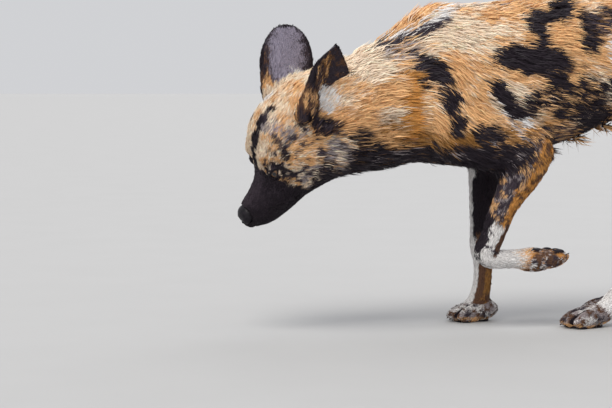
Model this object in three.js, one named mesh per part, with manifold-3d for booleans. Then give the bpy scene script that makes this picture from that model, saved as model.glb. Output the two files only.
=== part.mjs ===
// An African wild dog, life size, stepping down with its head lowered and its left forefoot lifted.
// Millimetres, +Z up, -Y ahead, +X the dog's left. Every outline is the outline of the coat.
import * as THREE from 'three';
import { mergeVertices } from 'three/addons/utils/BufferGeometryUtils.js';
import Module from 'manifold-3d';

const wasm = await Module();
wasm.setup();

// Driving dimensions
const GAP = 0.35; // left between two pieces that touch
const FLOOR = 0; // level of the three soles that stand
const WITHERS = 557; // height of the back behind the shoulders
const CHEST = 262; // height of the lowest line of the chest
const MIDDLE = { x: 15, y: 71 }; // middle of the whole, in the coordinates below, which start at the right forefoot

// The torso: y, middle x, top, bottom, half-width, and how much its top is narrower than its bottom
const NECK_ROWS = [
  [-292, 31, 414, 318, 40, 0],
  [-270, 29, 438, 284, 58, 0],
  [-236, 25, 455, 262, 66, 0.05],
  [-200, 19, 470, 260, 69, 0.1],
  [-160, 11, 492, 265, 71, 0.12],
  [-124, 5, 522, 272, 75, 0.12],
  [-90, 1, 538, 270, 80, 0.1],
];
const TRUNK_ROWS = [
  [-90, 1, 538, 270, 80, 0.1],
  [-50, 0, 541, 265, 86, 0.1],
  [0, 0, 545, CHEST, 90, 0.08],
  [50, 0, 551, 268, 92, 0.06],
  [110, 0, WITHERS, 293, 92, 0.04],
  [160, 0, 556, 309, 88, 0],
  [214, 0, 553, 331, 80, 0],
  [275, 0, 551, 350, 72, 0],
  [340, 0, 549, 354, 68, 0],
  [397, 0, 541, 368, 68, 0.05],
  [437, 0, 526, 394, 62, 0.1],
  [464, 0, 506, 422, 48, 0.1],
  [480, 0, 484, 444, 24, 0],
];
// The tail's bone: x, y, z, half-width and half-depth of its brush
const TAIL_ROWS = [
  [0, 444, 512, 19, 20],
  [0, 474, 494, 21, 21],
  [0, 501, 450, 22, 23],
  [0, 515, 395, 28, 30],
  [0, 520, 335, 34, 36],
  [0, 517, 275, 34, 36],
  [0, 509, 222, 25, 27],
  [0, 503, 186, 9, 10],
];

// The head hangs from the occiput in its own frame: along the nose, up through the crown, out to the left
const HEAD = { at: [20, -264, 389], yaw: -12, pitch: 53, roll: 22 };
// Distance along the nose, top, bottom, half-width, and the narrowing of the top
const HEAD_ROWS = [
  [-28, 36, -40, 52, 0],
  [-10, 49, -66, 70, 0],
  [18, 71, -87, 83, 0.12],
  [52, 83, -94, 87, 0.14],
  [84, 87, -91, 87, 0.06],
  [108, 83, -85, 84, -0.08],
  [128, 75, -78, 77, -0.16],
  [146, 60, -72, 65, -0.2],
  [161, 40, -67, 53, -0.06],
  [180, 24, -63, 45, 0.08],
  [204, 17, -57, 40, 0.1],
  [224, 15, -50, 35, 0.05],
  [238, 11, -41, 26, 0],
  [247, 5, -33, 16, 0],
];
// Half sizes run along, across and up
const EYE = { along: 153, up: 20, out: 47, radius: 10.5 };
const NOSE = { along: 240, up: -7, half: [15, 18, 14] };

// An ear is a cupped leaf on a furred mound, with the way its tip points, the way its opening faces,
// its width and how pointed it is, from 0.5 for a round top
const EAR = { height: 117, cup: 20, thick: 3.2, foot: 0.15, widest: 0.5, root: 0.25 };
const EAR_MOUND = { rise: 2, back: 8, half: [38, 26, 17] }; // half sizes up the ear, across and through it
const EARS = {
  ear_left: { base: [40, 32, 67], tip: [0.03, 0.29, 0.95], faces: [0.8, 0.58, 0.02], width: 90, point: 1.1 },
  ear_right: { base: [42, 34, -67], tip: [0.03, -0.04, 0.99], faces: [-0.94, 0.34, -0.02], width: 86, point: 0.5 },
};

// Limbs: x, y, z of the bone, half-width across the body and half-depth along it
const FORE_LEFT = {
  upper: [
    [38, -70, 420, 34, 40],
    [46, -78, 372, 38, 50],
    [54, -62, 334, 37, 50],
    [60, -20, 312, 34, 46],
    [64, 26, 298, 31, 40],
    [67, 62, 289, 27, 32],
    [68, 88, 290, 15, 16],
  ],
  lower: [
    [68, 66, 304, 24, 30],
    [68, 52, 268, 26, 36],
    [65, 22, 212, 22, 24],
    [61, 10, 183, 20, 23],
    [57, -1, 150, 19, 21.5],
    [54, -9, 130, 19, 22],
    [52, 2, 119, 18.5, 19],
    [51, 30, 117, 17.5, 17.5],
    [50, 62, 117, 19, 18],
    [50, 74, 117, 19, 17],
  ],
  paw: { at: [50, 60, 134], ahead: [0, 1, -0.06], up: [0, 0, -1] },
};
const FORE_RIGHT = {
  upper: [
    [-36, -46, 440, 32, 40],
    [-46, -54, 392, 38, 50],
    [-54, -42, 350, 37, 50],
    [-60, -6, 322, 34, 44],
    [-63, 36, 305, 30, 38],
    [-64, 66, 300, 15, 16],
  ],
  lower: [
    [-64, 42, 318, 24, 28],
    [-64, 32, 272, 24, 31],
    [-61, 26, 215, 21, 26],
    [-58, 23, 160, 19, 22],
    [-57, 22, 131, 19.5, 22],
    [-57, 25, 105, 18, 18.5],
    [-58, 25, 70, 17.5, 17.5],
    [-59, 20, 42, 19, 19],
    [-60, 12, 26, 19, 18],
  ],
  paw: { at: [-60, 42, 0], ahead: [-0.06, -1, 0], up: [0, 0, 1] },
};
const HIND_LEFT = {
  upper: [
    [44, 424, 500, 24, 44],
    [52, 415, 455, 31, 68],
    [58, 378, 408, 34, 80],
    [61, 330, 366, 33, 74],
    [62, 288, 336, 30, 56],
    [62, 256, 318, 22, 30],
  ],
  lower: [
    [62, 262, 318, 24, 36],
    [62, 274, 284, 25, 40],
    [62, 288, 232, 22, 31],
    [62, 300, 184, 17.5, 23],
    [62, 307, 148, 17, 23],
    [62, 293, 122, 16.5, 19],
    [61, 252, 82, 16, 17],
    [60, 214, 42, 17.5, 18],
    [60, 200, 26, 18, 17],
  ],
  paw: { at: [60, 200, 0], ahead: [0.04, -1, 0], up: [0, 0, 1] },
};
const HIND_RIGHT = {
  upper: [
    [-44, 430, 500, 24, 44],
    [-52, 424, 452, 31, 68],
    [-58, 398, 402, 34, 78],
    [-61, 362, 362, 33, 70],
    [-62, 326, 334, 30, 52],
    [-62, 298, 318, 22, 30],
  ],
  lower: [
    [-62, 304, 316, 24, 36],
    [-62, 320, 280, 25, 39],
    [-62, 346, 226, 22, 30],
    [-62, 364, 182, 17.5, 23],
    [-62, 372, 146, 17, 22.5],
    [-62, 358, 118, 16.5, 18.5],
    [-61, 324, 78, 16, 17],
    [-60, 294, 42, 17.5, 18],
    [-60, 282, 26, 18, 17],
  ],
  paw: { at: [-60, 286, 0], ahead: [-0.04, -1, 0], up: [0, 0, 1] },
};

// A paw from its heel, at 0, to its toes: along, top, bottom, half-width
const PALM_ROWS = [
  [-2, 32, 10, 12, 0],
  [8, 38, 3, 20, 0],
  [22, 39, -3, 25, 0],
  [38, 34, -3, 26, 0],
  [50, 26, 2, 22, 0],
];
const TOE_ROWS = [
  [30, 30, 4, 7, 0],
  [44, 32, -3, 10.5, 0],
  [56, 28, -4, 11.5, 0],
  [67, 22, -3, 10, 0],
  [74, 15, 2, 5.5, 0],
];
const TOES = [
  { out: -22, back: 9, splay: -9 },
  { out: -9, back: 0, splay: -3 },
  { out: 9, back: 0, splay: 3 },
  { out: 22, back: 9, splay: 9 },
];
const CLAW = { start: 68, length: 13, radius: 3.4, up: 11, droop: 6, sides: 5 };

// Colours of the coat and the bare parts
const TAN = '#c98b4c';
const BLACK = '#2a2422';
const WHITE = '#e9e2d6';
const EYE_BROWN = '#3a1f10';

const SIDES = { torso: 20, head: 20, limb: 12, palm: 10, toe: 6, tail: 12 };

const radians = THREE.MathUtils.degToRad;
const vector = (list) => new THREE.Vector3(...list);

// Rows passed smoothly through, with so many steps between one and the next
function smoothRows(rows, steps) {
  const ends = (a, b) => a.map((value, i) => 2 * value - b[i]);
  const padded = [ends(rows[0], rows[1]), ...rows, ends(rows.at(-1), rows.at(-2))];
  const out = [];
  for (let i = 1; i < padded.length - 2; i++) {
    for (let s = 0; s < steps; s++) {
      const t = s / steps;
      out.push(padded[i].map((b, k) => {
        const [a, c, d] = [padded[i - 1][k], padded[i + 1][k], padded[i + 2][k]];
        return 0.5 * (2 * b + (c - a) * t + (2 * a - 5 * b + 4 * c - d) * t * t + (3 * b - a - 3 * c + d) * t ** 3);
      }));
    }
  }
  return [...out, rows.at(-1)];
}

// A closed skin over rings of equal count, with flat ends
function skin(rings) {
  const sides = rings[0].length;
  const points = rings.flat();
  const index = [];
  for (let r = 0; r + 1 < rings.length; r++) {
    for (let i = 0; i < sides; i++) {
      const [a, b] = [r * sides + i, r * sides + ((i + 1) % sides)];
      index.push(a, b, b + sides, a, b + sides, a + sides);
    }
  }
  for (const [ring, start, turned] of [[rings[0], 0, true], [rings.at(-1), (rings.length - 1) * sides, false]]) {
    const middle = points.length;
    points.push(ring.reduce((sum, p) => sum.add(p), new THREE.Vector3()).divideScalar(sides));
    for (let i = 0; i < sides; i++) {
      const [a, b] = [start + i, start + ((i + 1) % sides)];
      index.push(...(turned ? [middle, b, a] : [middle, a, b]));
    }
  }
  return solid(points, index);
}

function solid(points, index) {
  let geometry = new THREE.BufferGeometry().setFromPoints(points).setIndex(index);
  geometry = mergeVertices(geometry, 1e-3);
  const build = (triVerts) => new wasm.Manifold(new wasm.Mesh({
    numProp: 3,
    vertProperties: new Float32Array(geometry.attributes.position.array),
    triVerts: new Uint32Array(triVerts),
  }));
  const made = build(geometry.index.array);
  if (made.volume() > 0) return made;
  const turned = [];
  for (let i = 0; i < geometry.index.count; i += 3) {
    const [a, b, c] = geometry.index.array.slice(i, i + 3);
    turned.push(a, c, b);
  }
  return build(turned);
}

// Points round one section: across is its sideways unit vector and up its other one
function ring(centre, across, up, [top, bottom, half, egg], sides, grow) {
  const points = [];
  for (let i = 0; i < sides; i++) {
    const angle = (i / sides) * 2 * Math.PI;
    const rise = Math.sin(angle);
    const reach = rise > 0 ? top + grow : grow - bottom;
    const wide = (half + grow) * Math.cos(angle) * (1 - egg * rise);
    points.push(centre.clone().addScaledVector(across, wide).addScaledVector(up, rise * reach));
  }
  return points;
}

// A body of upright sections that follow the y axis
function torso(rows, grow = 0) {
  const rings = smoothRows(rows, 2).map(([y, x, top, bottom, half, egg]) => {
    const middle = (top + bottom) / 2;
    const section = [top - middle, bottom - middle, half, egg];
    return ring(vector([x, y, middle]), vector([1, 0, 0]), vector([0, 0, 1]), section, SIDES.torso, grow);
  });
  extendEnds(rings, grow);
  return skin(rings);
}

function extendEnds(rings, grow) {
  if (!grow) return;
  for (const [end, next] of [[rings[0], rings[1]], [rings.at(-1), rings.at(-2)]]) {
    const out = centreOf(end).sub(centreOf(next)).setLength(grow);
    end.forEach((point) => point.add(out));
  }
}

function centreOf(points) {
  return points.reduce((sum, p) => sum.add(p), new THREE.Vector3()).divideScalar(points.length);
}

// A body of sections in a frame of its own, where rows run along the frame's ahead vector
function framed(rows, frame, sides, grow = 0) {
  const rings = rows.map(([along, ...section]) => {
    const centre = frame.at.clone().addScaledVector(frame.ahead, along);
    return ring(centre, frame.out, frame.up, section, sides, grow);
  });
  extendEnds(rings, grow);
  return skin(rings);
}

// A limb or tail: sections square to its bone
function limb(rows, sides, grow = 0) {
  const point = (row) => vector(row.slice(0, 3));
  const rings = rows.map((row, i) => {
    const before = point(rows[Math.max(i - 1, 0)]);
    const after = point(rows[Math.min(i + 1, rows.length - 1)]);
    const along = after.sub(before).normalize();
    const across = vector([1, 0, 0]).addScaledVector(along, -along.x).normalize();
    const depth = along.clone().cross(across);
    const [half, deep] = row.slice(3);
    return ring(point(row), across, depth, [deep, -deep, half, 0], sides, grow);
  });
  extendEnds(rings, grow);
  return skin(rings);
}

function headFrame() {
  const [yaw, pitch, roll] = [HEAD.yaw, HEAD.pitch, HEAD.roll].map(radians);
  const ahead = vector([Math.sin(yaw) * Math.cos(pitch), -Math.cos(yaw) * Math.cos(pitch), -Math.sin(pitch)]);
  const level = vector([Math.cos(yaw), Math.sin(yaw), 0]);
  const crown = ahead.clone().cross(level).multiplyScalar(-1);
  if (crown.z < 0) crown.negate();
  return {
    at: vector(HEAD.at),
    ahead,
    out: level.clone().multiplyScalar(Math.cos(roll)).addScaledVector(crown, -Math.sin(roll)),
    up: crown.clone().multiplyScalar(Math.cos(roll)).addScaledVector(level, Math.sin(roll)),
  };
}

const head = headFrame();
const inHead = ([along, up, out]) => head.at.clone()
  .addScaledVector(head.ahead, along).addScaledVector(head.up, up).addScaledVector(head.out, out);

// An ellipsoid with its half sizes along three unit vectors
function ellipsoid(centre, axes, halves, grow = 0) {
  const ball = new THREE.SphereGeometry(1, 10, 7);
  ball.deleteAttribute('normal');
  ball.deleteAttribute('uv');
  const merged = mergeVertices(ball, 1e-5);
  const points = [];
  for (let i = 0; i < merged.attributes.position.count; i++) {
    const share = new THREE.Vector3().fromBufferAttribute(merged.attributes.position, i).toArray();
    const point = centre.clone();
    axes.forEach((axis, k) => point.addScaledVector(axis, share[k] * (halves[k] + grow)));
    points.push(point);
  }
  return solid(points, Array.from(merged.index.array));
}

const headAxes = [head.ahead, head.out, head.up];
const eye = (side, grow) => ellipsoid(inHead([EYE.along, EYE.up, side * EYE.out]), headAxes,
  [EYE.radius, EYE.radius, EYE.radius], grow);
const nose = (grow) => ellipsoid(inHead([NOSE.along, NOSE.up, 0]), headAxes, NOSE.half, grow);

// Half-width of the ear at a share of its height
function earHalf(share, { width, point }) {
  if (share < EAR.widest) {
    const grown = Math.sin(((share + EAR.root) / (EAR.widest + EAR.root)) * (Math.PI / 2));
    return (width / 2) * (EAR.foot + (1 - EAR.foot) * grown);
  }
  const rise = (share - EAR.widest) / (1 - EAR.widest);
  return (width / 2) * Math.max(1 - rise * rise, 0) ** point;
}

function earFrame({ base, tip, faces }) {
  const up = vector(tip).normalize();
  const opening = vector(faces).addScaledVector(up, -vector(faces).dot(up)).normalize();
  return { foot: inHead(base), up, opening, across: up.clone().cross(opening) };
}

function earMound(place, grow) {
  const { foot, up, opening, across } = earFrame(place);
  const centre = foot.addScaledVector(up, EAR_MOUND.rise).addScaledVector(opening, -EAR_MOUND.back);
  return ellipsoid(centre, [up, across, opening], EAR_MOUND.half, grow);
}

function ear(place, grow = 0) {
  const { foot, up, opening, across } = earFrame(place);
  const ROWS = 9;
  const COLUMNS = 6;
  const at = (share, u, offset) => {
    const half = Math.max(earHalf(share, place), 3) + grow;
    const depth = EAR.cup * (1.25 - 0.9 * share) * (u * u - 0.55);
    return foot.clone().addScaledVector(up, share * EAR.height)
      .addScaledVector(across, u * half)
      .addScaledVector(opening, depth + offset);
  };
  const rings = [];
  for (let r = 0; r <= ROWS; r++) {
    const share = Math.sin((r / ROWS) * (Math.PI / 2)) * (0.98 + EAR.root) - EAR.root;
    const thick = EAR.thick * (1.5 - 0.7 * share) + grow;
    const side = (sign) => Array.from({ length: COLUMNS + 1 }, (_, c) => {
      const u = -1 + (2 * c) / COLUMNS;
      return at(share, sign * u, sign * thick * Math.sqrt(1 - 0.75 * u * u));
    });
    rings.push([...side(1), ...side(-1)]);
  }
  return skin(rings);
}

function pawFrame({ at, ahead, up }) {
  const forward = vector(ahead).normalize();
  const rise = vector(up).addScaledVector(forward, -vector(up).dot(forward)).normalize();
  return { at: vector(at), ahead: forward, up: rise, out: rise.clone().cross(forward) };
}

function paw(place) {
  const frame = pawFrame(place);
  let made = framed(PALM_ROWS, frame, SIDES.palm);
  for (const toe of TOES) {
    const turn = radians(toe.splay);
    const forward = frame.ahead.clone().multiplyScalar(Math.cos(turn)).addScaledVector(frame.out, Math.sin(turn));
    const own = {
      at: frame.at.clone().addScaledVector(frame.out, toe.out * 0.45).addScaledVector(frame.ahead, -toe.back),
      ahead: forward,
      up: frame.up,
      out: frame.up.clone().cross(forward),
    };
    made = made.add(framed(TOE_ROWS, own, SIDES.toe)).add(claw(own));
  }
  return made;
}

function claw(frame) {
  const rings = [0, 0.5, 1].map((share) => {
    const centre = frame.at.clone().addScaledVector(frame.ahead, CLAW.start + share * CLAW.length)
      .addScaledVector(frame.up, CLAW.up - share * share * CLAW.droop);
    const radius = CLAW.radius * (1 - 0.75 * share);
    return ring(centre, frame.out, frame.up, [radius, -radius, radius * 0.7, 0], CLAW.sides, 0);
  });
  return skin(rings);
}

// A block that reaches below the floor, which cuts the standing soles flat
function belowFloor() {
  const block = new THREE.BoxGeometry(2000, 2000, 200).translate(0, 0, FLOOR - 100);
  block.deleteAttribute('normal');
  block.deleteAttribute('uv');
  const merged = mergeVertices(block);
  const points = [];
  for (let i = 0; i < merged.attributes.position.count; i++) {
    points.push(new THREE.Vector3().fromBufferAttribute(merged.attributes.position, i));
  }
  return solid(points, Array.from(merged.index.array));
}

const neck = (grow) => torso(NECK_ROWS, grow);
const trunk = (grow) => torso(TRUNK_ROWS, grow);
const solids = new Map();
const ground = belowFloor();

solids.set('trunk', [trunk(0), TAN]);
solids.set('neck', [neck(0).subtract(trunk(GAP)), TAN]);
solids.set('tail', [limb(TAIL_ROWS, SIDES.tail).subtract(trunk(GAP)), WHITE]);

// The skull with the mounds under the ears
function skullSolid(grow) {
  const mounds = Object.values(EARS).map((place) => earMound(place, grow));
  return mounds.reduce((made, mound) => made.add(mound), framed(HEAD_ROWS, head, SIDES.head, grow));
}

let skull = skullSolid(0).subtract(neck(GAP)).subtract(nose(GAP));
for (const [name, side] of [['eye_left', 1], ['eye_right', -1]]) {
  solids.set(name, [eye(side, 0), EYE_BROWN]);
  skull = skull.subtract(eye(side, GAP));
}
solids.set('head', [skull, TAN]);
solids.set('nose', [nose(0), BLACK]);
const skullGrown = skullSolid(3 * GAP);
for (const [name, place] of Object.entries(EARS)) {
  solids.set(name, [ear(place).subtract(skullGrown).subtract(neck(GAP)), BLACK]);
}

const limbs = { fore_left: FORE_LEFT, fore_right: FORE_RIGHT, hind_left: HIND_LEFT, hind_right: HIND_RIGHT };
for (const [name, { upper, lower, paw: place }] of Object.entries(limbs)) {
  const thigh = limb(upper, SIDES.limb).subtract(trunk(GAP)).subtract(neck(GAP));
  const shank = limb(lower, SIDES.limb).subtract(limb(upper, SIDES.limb, GAP)).subtract(trunk(GAP));
  const foot = paw(place).subtract(limb(lower, SIDES.limb, GAP)).subtract(ground);
  solids.set(`upper_leg_${name}`, [thigh, TAN]);
  solids.set(`lower_leg_${name}`, [shank, name === 'hind_left' ? WHITE : BLACK]);
  solids.set(`paw_${name}`, [foot, WHITE]);
}

// The piece without any crumb that a cut left beside it
function largest(made) {
  return made.decompose().reduce((best, piece) => (piece.volume() > best.volume() ? piece : best));
}

function mesh(name, made, colour) {
  const { vertProperties, triVerts } = largest(made).getMesh();
  const geometry = new THREE.BufferGeometry();
  geometry.setAttribute('position', new THREE.BufferAttribute(new Float32Array(vertProperties), 3));
  geometry.setIndex(new THREE.BufferAttribute(new Uint32Array(triVerts), 1));
  geometry.computeVertexNormals();
  const material = new THREE.MeshStandardMaterial({ color: colour, roughness: 0.85, metalness: 0 });
  const node = new THREE.Mesh(geometry, material);
  node.name = name;
  return node;
}

const dog = new THREE.Group();
for (const [name, [made, colour]] of solids) dog.add(mesh(name, made, colour));
dog.position.set(-MIDDLE.x, -MIDDLE.y, 0);

export default dog;
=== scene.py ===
"""An African wild dog, life size: one skin inside the solids' outline, with its coat as mesh tufts.

Metres, +Z up, -Y ahead, +X the dog's left. Rows of sections are in millimetres from the planted
right forefoot, as the solids have them, and MM and MIDDLE bring them into the frame.
"""
import math

import bpy
import numpy as np
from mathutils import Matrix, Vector

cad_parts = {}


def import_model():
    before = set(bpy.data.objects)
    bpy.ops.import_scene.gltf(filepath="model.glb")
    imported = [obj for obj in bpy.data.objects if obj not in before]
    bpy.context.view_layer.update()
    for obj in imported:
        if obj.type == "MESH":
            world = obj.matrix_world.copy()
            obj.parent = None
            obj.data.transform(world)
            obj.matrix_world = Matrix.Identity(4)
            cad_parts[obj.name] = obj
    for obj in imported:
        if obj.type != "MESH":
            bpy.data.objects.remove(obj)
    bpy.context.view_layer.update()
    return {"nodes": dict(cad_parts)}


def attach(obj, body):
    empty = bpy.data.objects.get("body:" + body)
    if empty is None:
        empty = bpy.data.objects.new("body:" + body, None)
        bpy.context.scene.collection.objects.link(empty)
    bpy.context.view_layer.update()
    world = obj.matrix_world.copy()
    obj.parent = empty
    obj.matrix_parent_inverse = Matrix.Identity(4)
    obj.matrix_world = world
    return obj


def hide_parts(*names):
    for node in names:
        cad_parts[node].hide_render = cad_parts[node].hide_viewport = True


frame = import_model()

MM = 0.001
MIDDLE = np.array([15.0, 71.0, 0.0])  # millimetres from the right forefoot to the middle of the whole
SEED = 11

# Shape: rows of sections

# y, middle x, top, bottom, half-width, narrowing of the top
TORSO_ROWS = [
    (-292, 31, 414, 318, 40, 0), (-270, 29, 438, 284, 58, 0), (-236, 25, 455, 262, 66, 0.05),
    (-200, 19, 470, 260, 69, 0.1), (-160, 11, 492, 265, 71, 0.12), (-124, 5, 522, 272, 75, 0.12),
    (-90, 1, 538, 270, 80, 0.1), (-50, 0, 541, 265, 86, 0.1), (0, 0, 545, 262, 90, 0.08),
    (50, 0, 551, 268, 92, 0.06), (110, 0, 557, 293, 92, 0.04), (160, 0, 556, 309, 88, 0),
    (214, 0, 553, 331, 80, 0), (275, 0, 551, 350, 72, 0), (340, 0, 549, 354, 68, 0),
    (397, 0, 541, 368, 68, 0.05), (437, 0, 526, 394, 62, 0.1), (464, 0, 506, 422, 48, 0.1),
]
# x, y, z of the bone, half-width across the body, half-depth
TAIL_ROWS = [
    (0, 444, 512, 19, 20), (0, 474, 494, 21, 21), (0, 501, 450, 22, 23), (0, 515, 395, 28, 30),
    (0, 520, 335, 34, 36), (0, 517, 275, 34, 36), (0, 509, 222, 25, 27), (0, 503, 186, 9, 10),
]
# Distance along the nose, top, bottom, half-width, narrowing of the top
HEAD_ROWS = [
    (-28, 36, -40, 52, 0), (-10, 49, -66, 70, 0), (18, 71, -87, 83, 0.12), (52, 83, -94, 87, 0.14),
    (84, 87, -91, 87, 0.06), (108, 83, -85, 84, -0.08), (128, 75, -78, 77, -0.16),
    (146, 60, -72, 65, -0.2), (161, 40, -67, 53, -0.06), (180, 24, -63, 45, 0.08),
    (204, 17, -57, 40, 0.1), (224, 15, -50, 35, 0.05), (238, 11, -41, 26, 0), (247, 5, -33, 16, 0),
]
LIMBS = {
    "fore_left": {
        "upper": [(38, -70, 420, 34, 40), (46, -78, 372, 38, 50), (54, -62, 334, 37, 50),
                  (60, -20, 312, 34, 46), (64, 26, 298, 31, 40), (67, 62, 289, 27, 32),
                  (68, 88, 290, 15, 16)],
        "lower": [(68, 66, 304, 24, 30), (68, 52, 268, 26, 36), (65, 22, 212, 22, 24),
                  (61, 10, 183, 20, 23), (57, -1, 150, 19, 21.5), (54, -9, 130, 19, 22),
                  (52, 2, 119, 18.5, 19), (51, 30, 117, 17.5, 17.5), (50, 62, 117, 19, 18),
                  (50, 74, 117, 19, 17)],
        "paw": {"at": (50, 60, 134), "ahead": (0, 1, -0.06), "up": (0, 0, -1)},
    },
    "fore_right": {
        "upper": [(-36, -46, 440, 32, 40), (-46, -54, 392, 38, 50), (-54, -42, 350, 37, 50),
                  (-60, -6, 322, 34, 44), (-63, 36, 305, 30, 38), (-64, 66, 300, 15, 16)],
        "lower": [(-64, 42, 318, 24, 28), (-64, 32, 272, 24, 31), (-61, 26, 215, 21, 26),
                  (-58, 23, 160, 19, 22), (-57, 22, 131, 19.5, 22), (-57, 25, 105, 18, 18.5),
                  (-58, 25, 70, 17.5, 17.5), (-59, 20, 42, 19, 19), (-60, 12, 26, 19, 18)],
        "paw": {"at": (-60, 42, 0), "ahead": (-0.06, -1, 0), "up": (0, 0, 1)},
    },
    "hind_left": {
        "upper": [(44, 424, 500, 24, 44), (52, 415, 455, 31, 68), (58, 378, 408, 34, 80),
                  (61, 330, 366, 33, 74), (62, 288, 336, 30, 56), (62, 256, 318, 22, 30)],
        "lower": [(62, 262, 318, 24, 36), (62, 274, 284, 25, 40), (62, 288, 232, 22, 31),
                  (62, 300, 184, 17.5, 23), (62, 307, 148, 17, 23), (62, 293, 122, 16.5, 19),
                  (61, 252, 82, 16, 17), (60, 214, 42, 17.5, 18), (60, 200, 26, 18, 17)],
        "paw": {"at": (60, 200, 0), "ahead": (0.04, -1, 0), "up": (0, 0, 1)},
    },
    "hind_right": {
        "upper": [(-44, 430, 500, 24, 44), (-52, 424, 452, 31, 68), (-58, 398, 402, 34, 78),
                  (-61, 362, 362, 33, 70), (-62, 326, 334, 30, 52), (-62, 298, 318, 22, 30)],
        "lower": [(-62, 304, 316, 24, 36), (-62, 320, 280, 25, 39), (-62, 346, 226, 22, 30),
                  (-62, 364, 182, 17.5, 23), (-62, 372, 146, 17, 22.5), (-62, 358, 118, 16.5, 18.5),
                  (-61, 324, 78, 16, 17), (-60, 294, 42, 17.5, 18), (-60, 282, 26, 18, 17)],
        "paw": {"at": (-60, 286, 0), "ahead": (-0.04, -1, 0), "up": (0, 0, 1)},
    },
}
HEAD = {"at": (20, -264, 389), "yaw": -12, "pitch": 53, "roll": 22}
EYE = {"along": 153, "up": 20, "out": 47, "radius": 10.5, "mound": (14, 11, 12), "opening": (10.2, 5.7, 9)}
EAR = {"height": 117, "cup": 20, "thick": 3.2, "foot": 0.15, "widest": 0.5, "root": 0.25}
# Place, width, how pointed the top is, and the side of its space on which the ear's front edge lies
EARS = {
    "ear_left": {"base": (40, 32, 67), "tip": (0.03, 0.29, 0.95), "faces": (0.8, 0.58, 0.02),
                 "width": 90, "point": 1.1, "front": -1},
    "ear_right": {"base": (42, 34, -67), "tip": (0.03, -0.04, 0.99), "faces": (-0.94, 0.34, -0.02),
                  "width": 86, "point": 0.5, "front": 1},
}
EAR_FOLD = [(26, -14, -2, 10, 9), (33, 10, 0, 9, 8), (36, 34, 3, 6, 5), (36, 56, 6, 3.5, 3)]
NOSE = {"along": 237, "up": -6, "halves": (20.5, 15, 15)}
# Shapes of the head: place along the nose, up and out to the left, and half sizes
BROW = {"at": (132, 40, 36), "halves": (17, 24, 15)}
LIP = {"at": (172, -22, 34), "halves": (14, 34, 18)}
NOSE_WING = {"at": (243, -7, 13), "halves": (8.5, 9, 8.5)}
NOSTRIL = {"at": (251, -8, 11.5), "halves": (3.6, 7, 4.4)}
NOSE_SLIT = {"at": (244, -12, 19), "halves": (8, 8, 1.7)}
NOSE_GROOVE = {"at": (256, -16, 0), "halves": (0.8, 6, 8)}
# The line of the closed mouth: out, along, up and half-width of the groove
MOUTH = [(6, 246, -24, 1.6), (22, 236, -27, 1.6), (35, 214, -31, 1.7), (42, 190, -36, 1.8),
         (47, 170, -40, 1.6)]
PALM_ROWS = [(-2, 32, 10, 12, 0), (8, 38, 3, 20, 0), (22, 39, -1, 24, 0), (38, 34, -1, 25, 0),
             (43, 26, 4, 17, 0)]
TOE_ROWS = [(28, 30, 6, 6, 0), (44, 32, 0, 8.6, 0), (56, 29, 0, 8.8, 0), (67, 22, 1, 8, 0),
            (73, 16, 4, 5.6, 0)]
TOES = [(-27, 9, -9.5), (-9, 0, -3.5), (9, 0, 3.5), (27, 9, 9.5)]  # out, back, splay in degrees
CLAW = {"start": 64, "length": 13, "radius": 3.2, "up": 11, "droop": 7}

# Depth of the coat over the skin, in millimetres
DEPTH = {"torso": 9, "head": 4, "ear": 1, "tail": 17, "upper": 7, "lower": 3, "paw": 1.5}
# How softly a part's shapes join each other, and how softly the part joins the rest, in metres
BLEND = {"torso": (0.01, 0.02), "head": (0.008, 0.014), "ear": (0.01, 0.012), "tail": (0.01, 0.02),
         "upper": (0.01, 0.022), "lower": (0.01, 0.02), "paw": (0.002, 0.01)}

BIG = 0.06  # metres, a distance that counts as far
REACH = 0.018
INNER_CAP, OUTER_CAP = 0.15, 0.6  # roundness of the spans' ends inside a level chain and at its ends
DENSITY = 0.93  # share of the tufts that are drawn


def unit(v):
    v = np.asarray(v, float)
    return v / np.linalg.norm(v)


def smoothstep(low, high, x):
    t = np.clip((x - low) / (high - low), 0, 1)
    return t * t * (3 - 2 * t)


class Space:
    """An origin in metres with three unit axes."""

    def __init__(self, origin, x, y, z):
        self.origin = np.asarray(origin, float)
        self.axes = np.array([unit(x), unit(y), unit(z)])

    def into(self, X, Y, Z):
        dx, dy, dz = (c - o for c, o in zip((X, Y, Z), self.origin))
        return tuple(dx * a[0] + dy * a[1] + dz * a[2] for a in self.axes)

    def points_into(self, points):
        return (points - self.origin) @ self.axes.T

    def out(self, point):
        return self.origin + np.asarray(point, float) @ self.axes


def placed(point):
    """A point in millimetres from the right forefoot, in the frame's metres."""
    return (np.asarray(point, float) - MIDDLE) * MM


ROW = Space(-MIDDLE * MM, (1, 0, 0), (0, 1, 0), (0, 0, 1))


def head_space():
    yaw, pitch, roll = (math.radians(HEAD[k]) for k in ("yaw", "pitch", "roll"))
    level = math.cos(pitch)
    ahead = np.array([math.sin(yaw) * level, -math.cos(yaw) * level, -math.sin(pitch)])
    side = np.array([math.cos(yaw), math.sin(yaw), 0])
    crown = -np.cross(ahead, side)
    crown *= np.sign(crown[2])
    out = side * math.cos(roll) - crown * math.sin(roll)
    up = crown * math.cos(roll) + side * math.sin(roll)
    return Space(placed(HEAD["at"]), out, ahead, up)


SKULL = head_space()


def in_head(along, up, out):
    """A point of the head, given in millimetres along the nose, up and out to the left."""
    return SKULL.out(np.array([out, along, up]) * MM)


def ear_space(place):
    tip = unit(place["tip"])
    faces = np.asarray(place["faces"], float)
    faces = unit(faces - tip * (faces @ tip))
    return Space(in_head(*place["base"]), np.cross(tip, faces), tip, faces)


def paw_space(place):
    ahead = unit(place["ahead"])
    up = np.asarray(place["up"], float)
    up = unit(up - ahead * (up @ ahead))
    return Space(placed(place["at"]), np.cross(up, ahead), ahead, up)


# Shape: fields

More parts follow.
